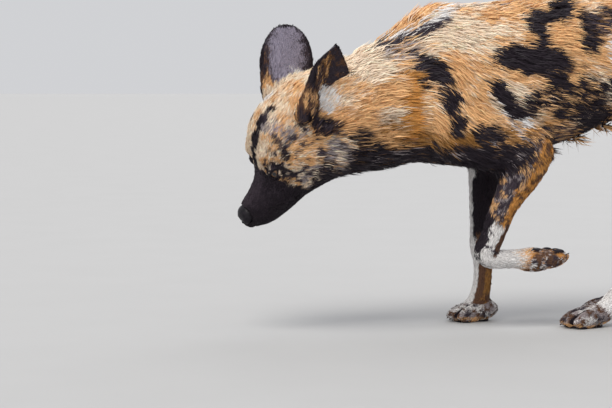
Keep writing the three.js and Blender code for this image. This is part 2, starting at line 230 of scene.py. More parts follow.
def smooth_rows(rows, steps):
    """The rows with a smooth curve through them, so many steps from one to the next."""
    rows = np.asarray(rows, float)
    padded = np.vstack([2 * rows[0] - rows[1], rows, 2 * rows[-1] - rows[-2]])
    made = []
    for a, b, c, d in zip(padded[:-3], padded[1:-2], padded[2:-1], padded[3:]):
        for t in np.arange(steps) / steps:
            bend, twist = 2 * a - 5 * b + 4 * c - d, 3 * b - a - 3 * c + d
            made.append((2 * b + (c - a) * t + bend * t**2 + twist * t**3) / 2)
    made.append(rows[-1])
    return np.array(made)


def oval_distance(size2, slope2):
    """About how far a point is from an oval, from its scaled radius and that radius's slope, squared."""
    size = np.sqrt(size2)
    return size * (size - 1) / np.sqrt(slope2 + 1e-12)


class Chain:
    """A run of oval sections along a bone: x, y, z, half-width, half-depth, narrowing of the top.

    The sections stand square to the bone or, on a level chain, square to its space's y.
    """

    def __init__(self, rows, space=ROW, steps=3, inset=0.0, flow=1, steers=True, level=False):
        rows = smooth_rows([tuple(row) + (0,) * (6 - len(row)) for row in rows], steps)
        rows[:, :5] *= MM
        rows[:, 3:5] = np.maximum(rows[:, 3:5] - inset * MM, 0.002)
        self.rows, self.space, self.flow, self.steers, self.level = rows, space, flow, steers, level
        steps_long = np.linalg.norm(np.diff(rows[:, :3], axis=0), axis=1)
        self.share = np.concatenate([[0], np.cumsum(steps_long)]) / steps_long.sum()

    def spans(self):
        for i, (first, last) in enumerate(zip(self.rows[:-1], self.rows[1:])):
            reach = max(first[3:5].max(), last[3:5].max()) + REACH
            ends = np.array([self.space.out(first[:3]), self.space.out(last[:3])])
            yield ends.min(0) - reach, ends.max(0) + reach, i

    def measure(self, X, Y, Z, i):
        """Distance, share of the span, and the two scaled offsets from the bone."""
        first, last = self.rows[i], self.rows[i + 1]
        x, y, z = self.space.into(X, Y, Z)
        step = last[:3] - first[:3]
        bone = np.array([0.0, 1.0, 0.0]) if self.level else unit(step)
        offset = [c - a for c, a in zip((x, y, z), first[:3])]
        t = np.clip(sum(c * b for c, b in zip(offset, bone)) / (step @ bone), 0, 1)
        offset = [c - t * s for c, s in zip(offset, step)]
        across = unit(np.array([1, 0, 0]) - bone * bone[0])
        up = np.cross(across, bone)
        u, v, w = (sum(c * a for c, a in zip(offset, axis)) for axis in (across, up, bone))
        wide, deep, narrow = (first[k] + t * (last[k] - first[k]) for k in (3, 4, 5))
        wide = wide * (1 - narrow * np.clip(v / deep, -1, 1))
        least = np.minimum(wide, deep)
        if self.level:
            outer = (w < 0) * (i == 0) + (w > 0) * (i == len(self.rows) - 2)
            least = least * np.where(outer, OUTER_CAP, INNER_CAP)
        size2 = (u / wide) ** 2 + (v / deep) ** 2 + (w / least) ** 2
        slope2 = (u / wide**2) ** 2 + (v / deep**2) ** 2 + (w / least**2) ** 2
        return oval_distance(size2, slope2), t, u / wide, v / deep

    def distance(self, X, Y, Z, i):
        return self.measure(X, Y, Z, i)[0]

    def bone(self, i):
        return unit((self.rows[i + 1] - self.rows[i])[:3]) @ self.space.axes * self.flow


class Blob:
    """An ellipsoid with its half sizes along a space's axes, in millimetres."""

    def __init__(self, centre, halves, space):
        self.space = Space(centre, *space.axes)
        self.halves = np.asarray(halves, float) * MM

    def spans(self):
        reach = self.halves.max() + REACH
        yield self.space.origin - reach, self.space.origin + reach, 0

    def distance(self, X, Y, Z, i):
        local = self.space.into(X, Y, Z)
        size2 = sum((c / h) ** 2 for c, h in zip(local, self.halves))
        slope2 = sum((c / h**2) ** 2 for c, h in zip(local, self.halves))
        return oval_distance(size2, slope2)


class Ear:
    """A cupped leaf: its space has x across, y up to the tip and z out of the opening."""

    def __init__(self, place, inset):
        self.space, self.inset = ear_space(place), inset * MM
        self.height, self.cup = EAR["height"] * MM, EAR["cup"] * MM
        self.width, self.point = place["width"] * MM, place["point"]
        self.steers = True

    def spans(self):
        middle = self.space.out((0, 0.4 * self.height, 0))
        reach = self.height * 0.7 + REACH / 2
        yield middle - reach, middle + reach, 0

    def half(self, share):
        """Half-width of the leaf at a share of its height."""
        grown = (share + EAR["root"]) / (EAR["widest"] + EAR["root"])
        grown = np.sin(np.clip(grown, 0, 1) * math.pi / 2)
        rise = (share - EAR["widest"]) / (1 - EAR["widest"])
        low = EAR["foot"] + (1 - EAR["foot"]) * grown
        high = np.clip(1 - rise**2, 0.002, 1) ** self.point
        return self.width / 2 * np.where(share < EAR["widest"], low, high)

    def measure(self, X, Y, Z, i):
        x, y, z = self.space.into(X, Y, Z)
        share = y / self.height
        half = self.half(share)
        u = np.clip(x / np.maximum(half, 0.004), -1.15, 1.15)
        depth = self.cup * (1.25 - 0.9 * np.clip(share, -0.3, 1))
        sheet = z - depth * (u**2 - 0.55)
        slope = 1 / np.sqrt(1 + (2 * depth * u / np.maximum(half, 0.01)) ** 2)
        thick = EAR["thick"] * MM * (1.5 - 0.7 * np.clip(share, -0.3, 1)) - self.inset
        face = np.abs(sheet) * slope - thick * np.sqrt(np.clip(1 - 0.75 * u**2, 0.1, 1))
        widest = EAR["widest"] * self.height
        rise = (share - EAR["widest"]) / (1 - EAR["widest"])
        taper = np.clip(1 - rise**2, 0.05, 1) ** (self.point - 0.5)
        tall, wide = self.height - widest - self.inset, self.width / 2 * taper - self.inset
        top = y - widest
        slope2 = (x / wide**2) ** 2 + (top / tall**2) ** 2
        over = oval_distance((x / wide) ** 2 + (top / tall) ** 2, slope2)
        under = np.maximum((np.abs(x) - half + self.inset) * 0.9, -y - EAR["root"] * self.height)
        rim = np.where(top > 0, over, under)
        return np.maximum(face, rim), share, u, np.sign(sheet)

    def distance(self, X, Y, Z, i):
        return self.measure(X, Y, Z, i)[0]

    def bone(self, i):
        return self.space.axes[1]


def section_rows(rows, middle=0):
    """Rows of along, top, bottom, half-width and narrowing, as the rows of a chain along y."""
    return [(middle, y, (top + low) / 2, half, (top - low) / 2, egg) for y, top, low, half, egg in rows]


def toe_space(paw, toe):
    out, back, splay = toe
    turn = math.radians(splay)
    ahead = paw.axes[1] * math.cos(turn) + paw.axes[0] * math.sin(turn)
    origin = paw.out(np.array([out * 0.45, -back, 0]) * MM)
    return Space(origin, np.cross(ahead, paw.axes[2]), ahead, paw.axes[2])


def head_blob(shape, side=1):
    """A shape of the head on its left, or mirrored to its right with side -1."""
    along, up, out = shape["at"]
    return Blob(in_head(along, up, side * out), shape["halves"], SKULL)


def parts():
    """Each part: its chains and blobs, how softly they join, and how softly it joins the rest."""
    torso = [section_rows([(y, *rest)], x)[0] for y, x, *rest in TORSO_ROWS]
    made = {"torso": [Chain(torso, inset=DEPTH["torso"], level=True)]}
    head = [Chain(section_rows(HEAD_ROWS), SKULL, inset=DEPTH["head"], flow=-1, level=True)]
    head += [head_blob(shape, side) for shape in (BROW, LIP) for side in (1, -1)]
    for place in EARS.values():
        ear = ear_space(place)
        head.append(Blob(ear.out(np.array([0, 0, -7]) * MM), (25, 34, 15), ear))
        fold = [(place["front"] * x, y, z, wide, deep) for x, y, z, wide, deep in EAR_FOLD]
        head.append(Chain(fold, ear, steps=2, steers=False))
    made["head"] = head
    for name, place in EARS.items():
        made[name] = [Ear(place, DEPTH["ear"])]
    made["tail"] = [Chain(TAIL_ROWS, inset=DEPTH["tail"])]
    for name, limb in LIMBS.items():
        for part in ("upper", "lower"):
            made[part + "_" + name] = [Chain(limb[part], inset=DEPTH[part])]
        paw = paw_space(limb["paw"])
        shapes = [Chain(section_rows(PALM_ROWS), paw, steps=2, inset=DEPTH["paw"])]
        for toe in TOES:
            shapes.append(Chain(section_rows(TOE_ROWS), toe_space(paw, toe), steps=2, inset=DEPTH["paw"]))
        made["paw_" + name] = shapes
    return {name: (shapes, *BLEND[name.split("_")[0]]) for name, shapes in made.items()}


PARTS = parts()


def smooth_least(a, b, blend):
    near = np.clip(blend - np.abs(a - b), 0, None) / blend
    return np.minimum(a, b) - near * near * blend / 4


def span_box(shapes):
    """The box round all the shapes' spans."""
    spans = [span for shape in shapes for span in shape.spans()]
    return np.min([s[0] for s in spans], axis=0), np.max([s[1] for s in spans], axis=0)


def window(axes, low, high):
    return tuple(slice(*np.searchsorted(axis, (a, b))) for axis, a, b in zip(axes, low, high))


def on_grid(shape, axes, values):
    """The least distance of the shape at the grid's points, written into values."""
    for low, high, i in shape.spans():
        cut = window(axes, low, high)
        x, y, z = (axis[c] for axis, c in zip(axes, cut))
        if values[cut].size:
            x, y, z = (c.astype(np.float32) for c in (x, y, z))
            d = shape.distance(x[:, None, None], y[None, :, None], z[None, None, :], i)
            values[cut] = np.minimum(values[cut], d)


def body_field(axes):
    """The skin as a signed distance over the grid, before its details."""
    field = np.full([len(a) for a in axes], BIG, np.float32)
    for shapes, inner, outer in PARTS.values():
        cut = window(axes, *span_box(shapes))
        near = [axis[c] for axis, c in zip(axes, cut)]
        part = np.full(field[cut].shape, BIG, np.float32)
        for shape in shapes:
            alone = np.full(part.shape, BIG, np.float32)
            on_grid(shape, near, alone)
            part = smooth_least(part, alone, inner)
        field[cut] = smooth_least(field[cut], part, outer)
    return field


def beside(field, axes, shape):
    """The stretch of the grid round a shape, and the shape's distance there."""
    cut = window(axes, *span_box([shape]))
    alone = np.full(field[cut].shape, BIG, np.float32)
    on_grid(shape, [axis[c] for axis, c in zip(axes, cut)], alone)
    return cut, alone


def carve(field, axes, shape, blend):
    """Takes the shape out of the field, with a soft edge."""
    cut, alone = beside(field, axes, shape)
    field[cut] = -smooth_least(-field[cut], alone, blend)


def add(field, axes, shape, blend):
    cut, alone = beside(field, axes, shape)
    field[cut] = smooth_least(field[cut], alone, blend)


def eye_space(side):
    """The eye: its space looks along z, with x from the inner corner to the outer one."""
    centre = in_head(EYE["along"], EYE["up"], side * EYE["out"])
    gaze = unit(np.array([side * 0.86, 0.42, 0.28])) @ SKULL.axes
    corner = unit(np.array([side * 0.42, -0.86, 0.3])) @ SKULL.axes
    corner = unit(corner - gaze * (corner @ gaze))
    return Space(centre, corner, np.cross(gaze, corner) * side, gaze)


def face_details(field, axes):
    """Eye mounds and openings, the line of the mouth and the hollow behind the nose pad."""
    for side in (1, -1):
        eye = eye_space(side)
        ring = EYE["radius"] * MM
        add(field, axes, Blob(eye.out((0, 0.001, 0.001)), EYE["mound"], eye), 0.005)
        carve(field, axes, Blob(eye.out((0, 0, ring)), EYE["opening"], eye), 0.002)
        mouth = [(side * out, along, up, half, half) for out, along, up, half in MOUTH]
        carve(field, axes, Chain(mouth, SKULL, steps=3), 0.003)
    nose = np.array(NOSE["halves"]) + 0.3
    carve(field, axes, Blob(in_head(NOSE["along"], NOSE["up"], 0), nose, SKULL), 0.002)


# Pads: out, ahead and up from the paw's heel or the toe's start, half sizes
PALM_PADS = [((0, 22, 2), (13, 11, 4)), ((-9, 15, 2), (7, 8, 3.5)), ((9, 15, 2), (7, 8, 3.5))]
TOE_PAD = ((0, 59, 2), (6.5, 9.5, 4))


def pads(limb):
    """The pads under a paw, as blobs."""
    paw = paw_space(limb["paw"])
    made = [Blob(paw.out(np.array(centre) * MM), halves, paw) for centre, halves in PALM_PADS]
    for toe in TOES:
        space = toe_space(paw, toe)
        centre, halves = TOE_PAD
        made.append(Blob(space.out(np.array(centre) * MM), halves, space))
    return made


def paw_pads(field, axes):
    for limb in LIMBS.values():
        for pad in pads(limb):
            add(field, axes, pad, 0.0015)


TEATS = {"out": 27, "from": 104, "gap": 52, "pairs": 5, "halves": (3, 3, 4)}


def belly_level(y):
    return np.interp(y, [row[0] for row in TORSO_ROWS], [row[3] for row in TORSO_ROWS])


def teats(field, axes):
    for pair in range(TEATS["pairs"]):
        y = TEATS["from"] + pair * TEATS["gap"]
        for side in (1, -1):
            centre = placed((side * TEATS["out"], y, belly_level(y) + 8))
            add(field, axes, Blob(centre, TEATS["halves"], ROW), 0.005)


def stepped(*stretches):
    """Grid lines over stretches of low end, high end and step, in millimetres."""
    coarse = 1.0
    lines = []
    for low, high, step in stretches:
        many = max(round((high - low) / (step * coarse)), 1)
        lines.append(np.linspace(low, high, many, endpoint=False))
    return np.append(np.concatenate(lines), stretches[-1][1]) * MM


def surface(field, axes):
    """Vertices and quads of the level where the field is 0, one vertex to each cell that it crosses."""
    inside = field < 0
    shape = [n - 1 for n in field.shape]
    total = np.zeros(shape + [3], np.float32)
    count = np.zeros(shape, np.float32)
    ends = [slice(0, -1), slice(1, None)]
    for axis in range(3):
        others = [k for k in range(3) if k != axis]
        for i in (0, 1):
            for j in (0, 1):
                here, there = [None] * 3, [None] * 3
                here[axis], there[axis] = ends
                here[others[0]] = there[others[0]] = ends[i]
                here[others[1]] = there[others[1]] = ends[j]
                index = np.nonzero(inside[tuple(here)] != inside[tuple(there)])
                a, b = field[tuple(here)][index], field[tuple(there)][index]
                line = axes[axis]
                total[index + (axis,)] += line[index[axis]] + a / (a - b) * np.diff(line)[index[axis]]
                total[index + (others[0],)] += axes[others[0]][index[others[0]] + i]
                total[index + (others[1],)] += axes[others[1]][index[others[1]] + j]
                count[index] += 1
    live = count > 0
    number = np.zeros(shape, np.int32)
    number[live] = np.arange(live.sum())
    quads = []
    for axis in range(3):
        others = [k for k in range(3) if k != axis]
        here, there = [slice(1, -1)] * 3, [slice(1, -1)] * 3
        here[axis], there[axis] = ends
        first = inside[tuple(here)]
        index = list(np.nonzero(first != inside[tuple(there)]))
        turned = first[tuple(index)] != (axis == 1)
        corners = []
        for di, dj in ((0, 0), (1, 0), (1, 1), (0, 1)):
            at = list(index)
            at[others[0]] = at[others[0]] + di
            at[others[1]] = at[others[1]] + dj
            corners.append(number[tuple(at)])
        quad = np.stack(corners, 1)
        quad[~turned] = quad[~turned][:, ::-1]
        quads.append(quad)
    return total[live] / count[live][:, None], np.vstack(quads)


# Meshes

def new_object(name, points, faces, material, smooth=True):
    mesh = bpy.data.meshes.new(name)
    mesh.vertices.add(len(points))
    mesh.vertices.foreach_set("co", np.asarray(points, np.float32).ravel())
    mesh.loops.add(faces.size)
    mesh.loops.foreach_set("vertex_index", faces.astype(np.int32).ravel())
    mesh.polygons.add(len(faces))
    mesh.polygons.foreach_set("loop_start", np.arange(0, faces.size, faces.shape[1], dtype=np.int32))
    mesh.update(calc_edges=True)
    mesh.polygons.foreach_set("use_smooth", np.full(len(faces), smooth))
    mesh.materials.append(material)
    made = bpy.data.objects.new(name, mesh)
    bpy.context.scene.collection.objects.link(made)
    return made


def point_normals(mesh):
    values = np.zeros(len(mesh.vertices) * 3, np.float32)
    mesh.vertices.foreach_get("normal", values)
    return values.reshape(-1, 3).astype(float)


def give(mesh, name, kind, values):
    """A named attribute on the mesh's points."""
    layer = mesh.attributes.new(name, kind, "POINT")
    layer.data.foreach_set({"FLOAT_COLOR": "color", "FLOAT_VECTOR": "vector"}.get(kind, "value"),
                           np.asarray(values, np.float32).ravel())


GRID = (
    stepped((-122, 122, 2)),
    stepped((-495, -275, 1.8), (-275, -110, 2.8), (-110, 215, 2.1), (215, 480, 3.2)),
    stepped((-6, 50, 1.8), (50, 105, 2.9), (105, 145, 1.8), (145, 190, 2.6), (190, 330, 1.8),
            (330, 500, 2.3), (500, 570, 2.8)),
)


# Where each point of the skin is, and how the coat lies there

def span_points(points, low, high):
    return np.nonzero(np.all((points > low) & (points < high), axis=1))[0]


def locate(points):
    """Nearest part of each point, its place along and round that part, and the way the coat lies."""
    names = list(PARTS)
    least = np.full((len(names), len(points)), BIG)
    share, across, rise = (np.zeros((len(names), len(points))) for _ in range(3))
    bone = np.zeros((len(names), len(points), 3))
    for k, name in enumerate(names):
        chains = [shape for shape in PARTS[name][0] if not isinstance(shape, Blob) and shape.steers]
        near = span_points(points, *span_box(chains))
        close = points[near]
        for shape in chains:
            for low, high, i in shape.spans():
                inside = span_points(close, low, high)
                d, t, u, v = shape.measure(*close[inside].T, i)
                found = near[inside]
                closer = d < least[k][found]
                found, d, t, u, v = (a[closer] for a in (found, d, t, u, v))
                least[k][found], across[k][found], rise[k][found] = d, u, v
                if isinstance(shape, Chain):
                    t = shape.share[i] + t * (shape.share[i + 1] - shape.share[i])
                share[k][found] = t
                bone[k][found] = shape.bone(i)
    best = least.argmin(0)
    pick = np.arange(len(points))
    weight = np.exp(-np.clip(least - least.min(0), 0, None) / 0.012)
    return {
        "part": best, "names": names, "distance": least,
        "share": share[best, pick], "across": across[best, pick], "rise": rise[best, pick],
        "bone": (bone * weight[..., None]).sum(0),
        "head": SKULL.points_into(points) / MM,
    }


def of_part(where, start):
    """True where the nearest part's name starts so."""
    numbers = [k for k, name in enumerate(where["names"]) if name.startswith(start)]
    return np.isin(where["part"], numbers)


def rows_at(x, rows):
    return np.interp(x, [row[0] for row in rows], [row[1] for row in rows])


# Length of the hair in millimetres along the body from the head back, and from the nape to the nose
BACK_HAIR = [(-300, 24), (-250, 32), (-190, 42), (-130, 36), (-70, 31), (0, 29), (150, 30), (440, 34)]
HEAD_HAIR = [(-28, 22), (15, 18), (55, 15), (90, 14), (125, 12), (150, 8), (170, 5), (205, 3.6),
             (247, 2.4)]
UPPER_HAIR = [(0, 28), (0.5, 22), (1, 14)]
LOWER_HAIR = [(0, 13), (0.4, 9), (1, 6.5)]
TAIL_HAIR = [(0, 26), (0.25, 40), (0.8, 46), (1, 34)]
PAW_HAIR = [(0, 6), (0.5, 4), (1, 3)]


def hair(points, normals, where):
    """Length in metres, lift in degrees and tufts to the square millimetre at each point."""
    y = points[:, 1] / MM + MIDDLE[1]
    out, along, up = where["head"].T
    length, lift, number = rows_at(y, BACK_HAIR), np.full(len(y), 11.0), np.full(len(y), 0.4)
    length *= 1 - 0.45 * smoothstep(0.5, 0.95, -normals[:, 2])
    number += 0.15 * smoothstep(40, -60, y)
    mane = smoothstep(0.3, 0.8, normals[:, 2]) * smoothstep(-190, -230, y) * smoothstep(-260, -220, y)
    lift += 5 * mane
    cheek = smoothstep(30, 62, np.abs(out)) * smoothstep(22, -25, up) * smoothstep(135, 85, along)
    here = of_part(where, "head")
    length = np.where(here, rows_at(along, HEAD_HAIR) + 15 * cheek, length)
    lift = np.where(here, 14 + 8 * cheek, lift)
    number = np.where(here, rows_at(along, [(-28, 0.7), (60, 0.85), (120, 1.12), (200, 1.35)]), number)
    for start, table, raised, dense in (("upper", UPPER_HAIR, 13, 0.44), ("lower", LOWER_HAIR, 10, 0.62),
                                        ("tail", TAIL_HAIR, 20, 0.5), ("paw", PAW_HAIR, 10, 0.95)):
        here = of_part(where, start)
        length = np.where(here, rows_at(where["share"], table), length)
        lift, number = np.where(here, raised, lift), np.where(here, dense, number)
    fold, tuft = (np.maximum(*sides) for sides in zip(*(ear_fur(points, name) for name in EARS)))
    here = of_part(where, "head")
    length = np.where(here, length * (1 - fold) + 15 * fold, length)
    length = np.where(here, length * (1 - tuft) + 16 * tuft, length)
    here, inner = of_part(where, "ear"), where["rise"] > 0
    base = smoothstep(0.42, 0.05, where["share"])
    edge = smoothstep(0.55, 1, np.abs(where["across"]))
    edge *= smoothstep(0.75, 0.3, where["share"])
    ear_length = np.where(inner, 4 + 13 * base + 4 * edge, 4.2 + 9 * base)
    ear_length = np.where(inner, ear_length + 3 * tuft, ear_length) * (1 - fold) + 13 * fold
    length = np.where(here, ear_length, length)
    lift = np.where(here, np.where(inner, 10 + 6 * base, 9), lift)
    number = np.where(here, np.where(inner, 0.55 + 0.5 * base, 1.15), number)
    return length * MM, lift, number


def ear_fur(points, name):
    """How much each point is of the fold before an ear and of the tuft in its opening, from 0 to 1."""
    place = EARS[name]
    x, y, z = ear_space(place).points_into(points).T / MM
    ahead = x * place["front"]
    near = smoothstep(48, 36, np.abs(z))
    fold = smoothstep(2, 12, ahead) * smoothstep(54, 44, ahead)
    fold *= smoothstep(-26, -14, y) * smoothstep(84, 66, y)
    tuft = smoothstep(1.3, 0.7, np.hypot((ahead + 8) / 17, (y - 27) / 21)) * smoothstep(-16, -9, z)
    return fold * near, tuft * near


def lie(points, normals, where):
    """The unit way the coat lies at each point, in the skin's plane."""
    flow = where["bone"].copy()
    out, along, up = where["head"].T
    side = np.abs(normals[:, 0])
    flow[:, 2] -= 0.42 * np.where(of_part(where, "torso"), side, 0)
    cheek = np.where(of_part(where, "head"), smoothstep(15, 60, np.abs(out)) * smoothstep(75, -5, up), 0)
    cheek *= smoothstep(170, 120, along)
    flow -= cheek[:, None] * SKULL.axes[2]
    for name, place in EARS.items():
        fold, tuft = ear_fur(points, name)
        ear = ear_space(place)
        fold = (fold * ~of_part(where, "ear"))[:, None]
        flow = flow * (1 - fold) + ear.axes[1] * fold
        back = unit(ear.axes[1] - 0.7 * place["front"] * ear.axes[0])
        flow = flow * (1 - tuft[:, None]) + back * tuft[:, None]
    flow -= normals * (flow * normals).sum(1, keepdims=True)
    return flow / np.maximum(np.linalg.norm(flow, axis=1, keepdims=True), 1e-6)


# Markings

def linear(code):
    """A colour written in hexadecimal as light, channel by channel."""
    parts_of = np.array([int(code[i:i + 2], 16) for i in (1, 3, 5)]) / 255
    return np.where(parts_of <= 0.04045, parts_of / 12.92, ((parts_of + 0.055) / 1.055) ** 2.4)


# Colours of the hair; violet also serves as the painted sheen on the backs of the ears
COLOURS = {name: linear(code) for name, code in {
    "tan": "#efbb83", "orange": "#d8984e", "cream": "#ffe6cc", "white": "#f8f4f2", "black": "#251c25",
    "brown": "#6b4b38", "grey": "#a39899", "dark": "#40363f", "violet": "#a39cae", "umber": "#a3733a",
}.items()}


def lattice(i, j, k, seed):
    n = i * 73856093 ^ j * 19349663 ^ k * 83492791 ^ (seed * 7919 + 12345)
    n = (n ^ (n >> 13)) * 1274126177
    return ((n ^ (n >> 16)) & 0xFFFF) / 32767.5 - 1


def noise(points, size, seed=0):
    """Smooth noise from -1 to 1 with features of a size in metres."""
    at = points / size + 1000
    cell = np.floor(at).astype(np.int64)
    f = at - cell
    f = f * f * (3 - 2 * f)
    total = 0
    for corner in range(8):
        step = [(corner >> k) & 1 for k in range(3)]
        weight = np.prod([f[:, k] if s else 1 - f[:, k] for k, s in enumerate(step)], axis=0)
        total = total + weight * lattice(*(cell[:, k] + s for k, s in enumerate(step)), seed)
    return total


def rough_noise(points, size, seed=0):
    return (noise(points, size, seed) + 0.5 * noise(points, size / 2.1, seed + 1)
            + 0.25 * noise(points, size / 4.3, seed + 2)) / 1.4


# Patches on the body: middle y and z, half sizes, turn in degrees (up towards the tail), colour, strength
LEFT_MARKS = [
    (-217, 362, 17, 68, 3, "orange", 0.9), (-285, 440, 50, 40, 0, "cream", 0.95),
    (-136, 490, 62, 34, 0, "cream", 0.85), (-190, 462, 40, 22, 20, "cream", 0.7),
    (-165, 508, 54, 8, 31, "white", 0.95), (-222, 476, 44, 7, 30, "white", 0.85),
    (-226, 452, 34, 12, 16, "grey", 0.5), (-238, 466, 30, 6, 20, "dark", 1),
    (-186, 489, 48, 7, 28, "dark", 1), (-60, 541, 66, 7, 2, "grey", 0.6),
    (-177, 425, 33, 19, -40, "black", 1), (-204, 447, 17, 8, -42, "dark", 0.9),
    (-195, 413, 13, 12, 0, "black", 0.9), (-155, 381, 24, 19, -35, "black", 1),
    (-142, 340, 15, 22, -15, "black", 1), (-16, 445, 70, 23, -4, "black", 1),
    (5, 490, 19, 38, 6, "black", 1), (44, 524, 40, 15, 30, "black", 1),
    (92, 494, 17, 38, 0, "black", 0.9), (120, 508, 24, 24, 0, "dark", 0.75),
    (-64, 386, 36, 18, -48, "black", 1), (-46, 362, 24, 13, -40, "black", 0.95),
    (-16, 370, 17, 25, -30, "black", 0.85), (-88, 326, 30, 18, -10, "black", 0.85),
    (70, 384, 62, 30, 0, "black", 0.62), (100, 362, 46, 20, 0, "black", 0.8),
    (30, 329, 50, 18, 4, "orange", 0.5), (34, 324, 54, 18, 4, "dark", 0.55),
    (66, 298, 34, 26, 0, "dark", 0.7), (112, 348, 36, 13, 10, "black", 0.95),
    (-22, 343, 10, 9, 40, "white", 1), (-50, 340, 40, 4.5, -52, "white", 0.8),
    (-40, 330, 30, 4, -56, "grey", 0.8), (150, 470, 34, 22, 30, "white", 0.8),
    (190, 420, 34, 46, -20, "black", 1), (180, 520, 50, 16, 0, "black", 0.9),
    (255, 478, 34, 26, 0, "tan", 1), (265, 420, 28, 30, 30, "orange", 1),
    (250, 355, 44, 24, -20, "white", 0.9), (330, 440, 30, 44, 20, "black", 0.95),
    (330, 515, 40, 18, -10, "black", 0.9), (300, 350, 30, 34, 0, "black", 0.85),
    (372, 470, 28, 34, 0, "tan", 0.9), (355, 390, 26, 34, 30, "white", 0.8),
]
RIGHT_MARKS = [
    (-285, 430, 46, 36, 0, "cream", 0.9), (-215, 350, 30, 50, 10, "orange", 0.85),
    (-165, 506, 70, 13, 31, "white", 0.9), (-205, 478, 60, 9, 27, "black", 0.9),
    (-205, 430, 20, 30, 30, "black", 0.95), (-150, 470, 44, 22, -20, "cream", 0.8),
    (-120, 400, 26, 40, 20, "black", 1), (-65, 430, 24, 26, 0, "white", 0.9),
    (-55, 500, 60, 18, 10, "black", 1), (-30, 380, 30, 26, -40, "orange", 0.9),
    (20, 440, 26, 44, 12, "black", 1), (60, 500, 34, 22, 0, "tan", 1),
    (70, 400, 34, 26, 0, "white", 0.85), (110, 455, 26, 30, 30, "black", 0.95),
    (125, 380, 40, 22, 0, "umber", 0.8), (150, 520, 50, 14, 0, "black", 0.9),
    (180, 440, 30, 34, 0, "tan", 1), (215, 400, 30, 40, -20, "black", 0.95),
    (245, 480, 34, 26, 20, "black", 0.9), (270, 410, 24, 34, 10, "white", 0.9),
    (310, 460, 30, 34, 0, "tan", 1), (330, 380, 34, 30, -20, "black", 0.95),
    (370, 440, 30, 44, 10, "black", 0.8), (380, 500, 30, 18, 0, "white", 0.7),
]
# Patches on the head: along the nose, up, out to the left, radius, colour, strength
HEAD_MARKS = [
    (69, 82, -20, 18, "white", 0.8), (30, 76, 20, 22, "tan", 0.5), (78, 84, 23, 11, "black", 0.95),
    (98, 82, 19, 12, "dark", 1), (110, 79, 18, 11, "black", 1), (127, 73, 19, 12, "black", 1),
    (139, 65, 14, 12, "black", 1), (150, 54, 7, 12, "black", 1), (164, 38, 0, 12, "black", 1),
    (174, 28, 5, 12, "black", 1), (107, 77, 32, 11, "grey", 0.7), (92, 72, 46, 13, "grey", 0.5),
    (101, 64, 56, 17, "violet", 0.5), (90, 56, 68, 15, "grey", 0.6), (114, 52, 66, 14, "dark", 0.8),
    (108, 62, 56, 8, "dark", 0.8), (122, 36, 74, 12, "black", 0.85), (88, 44, 78, 10, "dark", 0.6),
    (138, 58, 38, 13, "cream", 0.85), (158, 38, 28, 13, "cream", 0.75), (125, 51, 62, 8, "tan", 0.7),
    (147, 42, 47, 10, "tan", 0.7), (151, 24, 57, 19, "black", 1), (143, 13, 67, 14, "black", 0.95),
    (160, 24, 46, 14, "black", 1), (101, 22, 82, 20, "tan", 0.95), (104, 1, 84, 14, "tan", 0.8),
    (69, 9, 85, 20, "tan", 0.95), (120, 10, 78, 12, "cream", 0.5), (100, -34, 78, 18, "black", 0.9),
    (116, -45, 63, 24, "black", 0.95), (68, -24, 86, 21, "grey", 0.9), (74, -52, 75, 20, "grey", 0.7),
    (40, -50, 78, 26, "black", 0.9), (186, 10, 37, 9, "tan", 0.75), (20, 20, 80, 18, "tan", 0.7),
    (66, 46, 80, 12, "black", 0.85), (50, 36, 84, 12, "black", 0.8),
]


def laid_on(colour, weight, name, pick):
    """The colour with another laid over it, hair by hair at its edge."""
    chosen = smoothstep(0, 0.3, weight - 0.7 * pick)[:, None]
    return colour + (COLOURS[name] - colour) * chosen


def layered(colour, pick, *layers):
    """The colour with each layer, a weight and a colour's name, laid over it in turn."""
    for weight, name in layers:
        colour = laid_on(colour, weight, name, pick)
    return colour


def on(mask, weight=1.0):
    """The weight where the mask is true, and 0 elsewhere."""
    return np.where(mask, weight, 0)


def body_colours(points, where, pick):
    x, y, z = points.T / MM
    soft = rough_noise(points, 0.035, 5)
    colour = np.tile(COLOURS["tan"], (len(points), 1))
    colour = laid_on(colour, 0.5 + 0.6 * soft, "cream", pick * 0.5 + 0.42)
    low = smoothstep(400, 300, z)
    colour = laid_on(colour, low * (0.75 + 0.5 * soft), "umber", pick * 0.6 + 0.35)
    fleck = rough_noise(points * (1, 0.75, 1.5), 0.014, 9)
    behind = smoothstep(-30, 20, y) * smoothstep(455, 405, z)
    colour = laid_on(colour, behind * (0.45 + 1.5 * fleck), "black", pick)
    spread = np.stack([noise(points, 0.022, 21), noise(points, 0.022, 33)], 1)
    spread += 0.6 * np.stack([noise(points, 0.009, 44), noise(points, 0.009, 55)], 1)
    for side, marks in ((1, LEFT_MARKS), (-1, RIGHT_MARKS)):
        on_side = smoothstep(-6, 6, side * x + 6 * spread[:, 0])
        for my, mz, ry, rz, turn, name, strength in marks:
            c, s = math.cos(math.radians(turn)), math.sin(math.radians(turn))
            dy, dz = y - my + 6 * spread[:, 0], z - mz + 5 * spread[:, 1]
            size = np.hypot((dy * c + dz * s) / ry, (dz * c - dy * s) / rz)
            colour = laid_on(colour, on_side * strength * smoothstep(1.25, 0.75, size), name, pick)
    chest = smoothstep(322, 300, z + 8 * spread[:, 0]) * smoothstep(30, -20, y)
    streak = noise(points * (1, 0.22, 1.6), 0.006, 71)
    return layered(colour, pick, (chest * (0.95 + 0.25 * fleck), "black"),
                   (chest * smoothstep(0.35, 0.9, streak), "grey"))


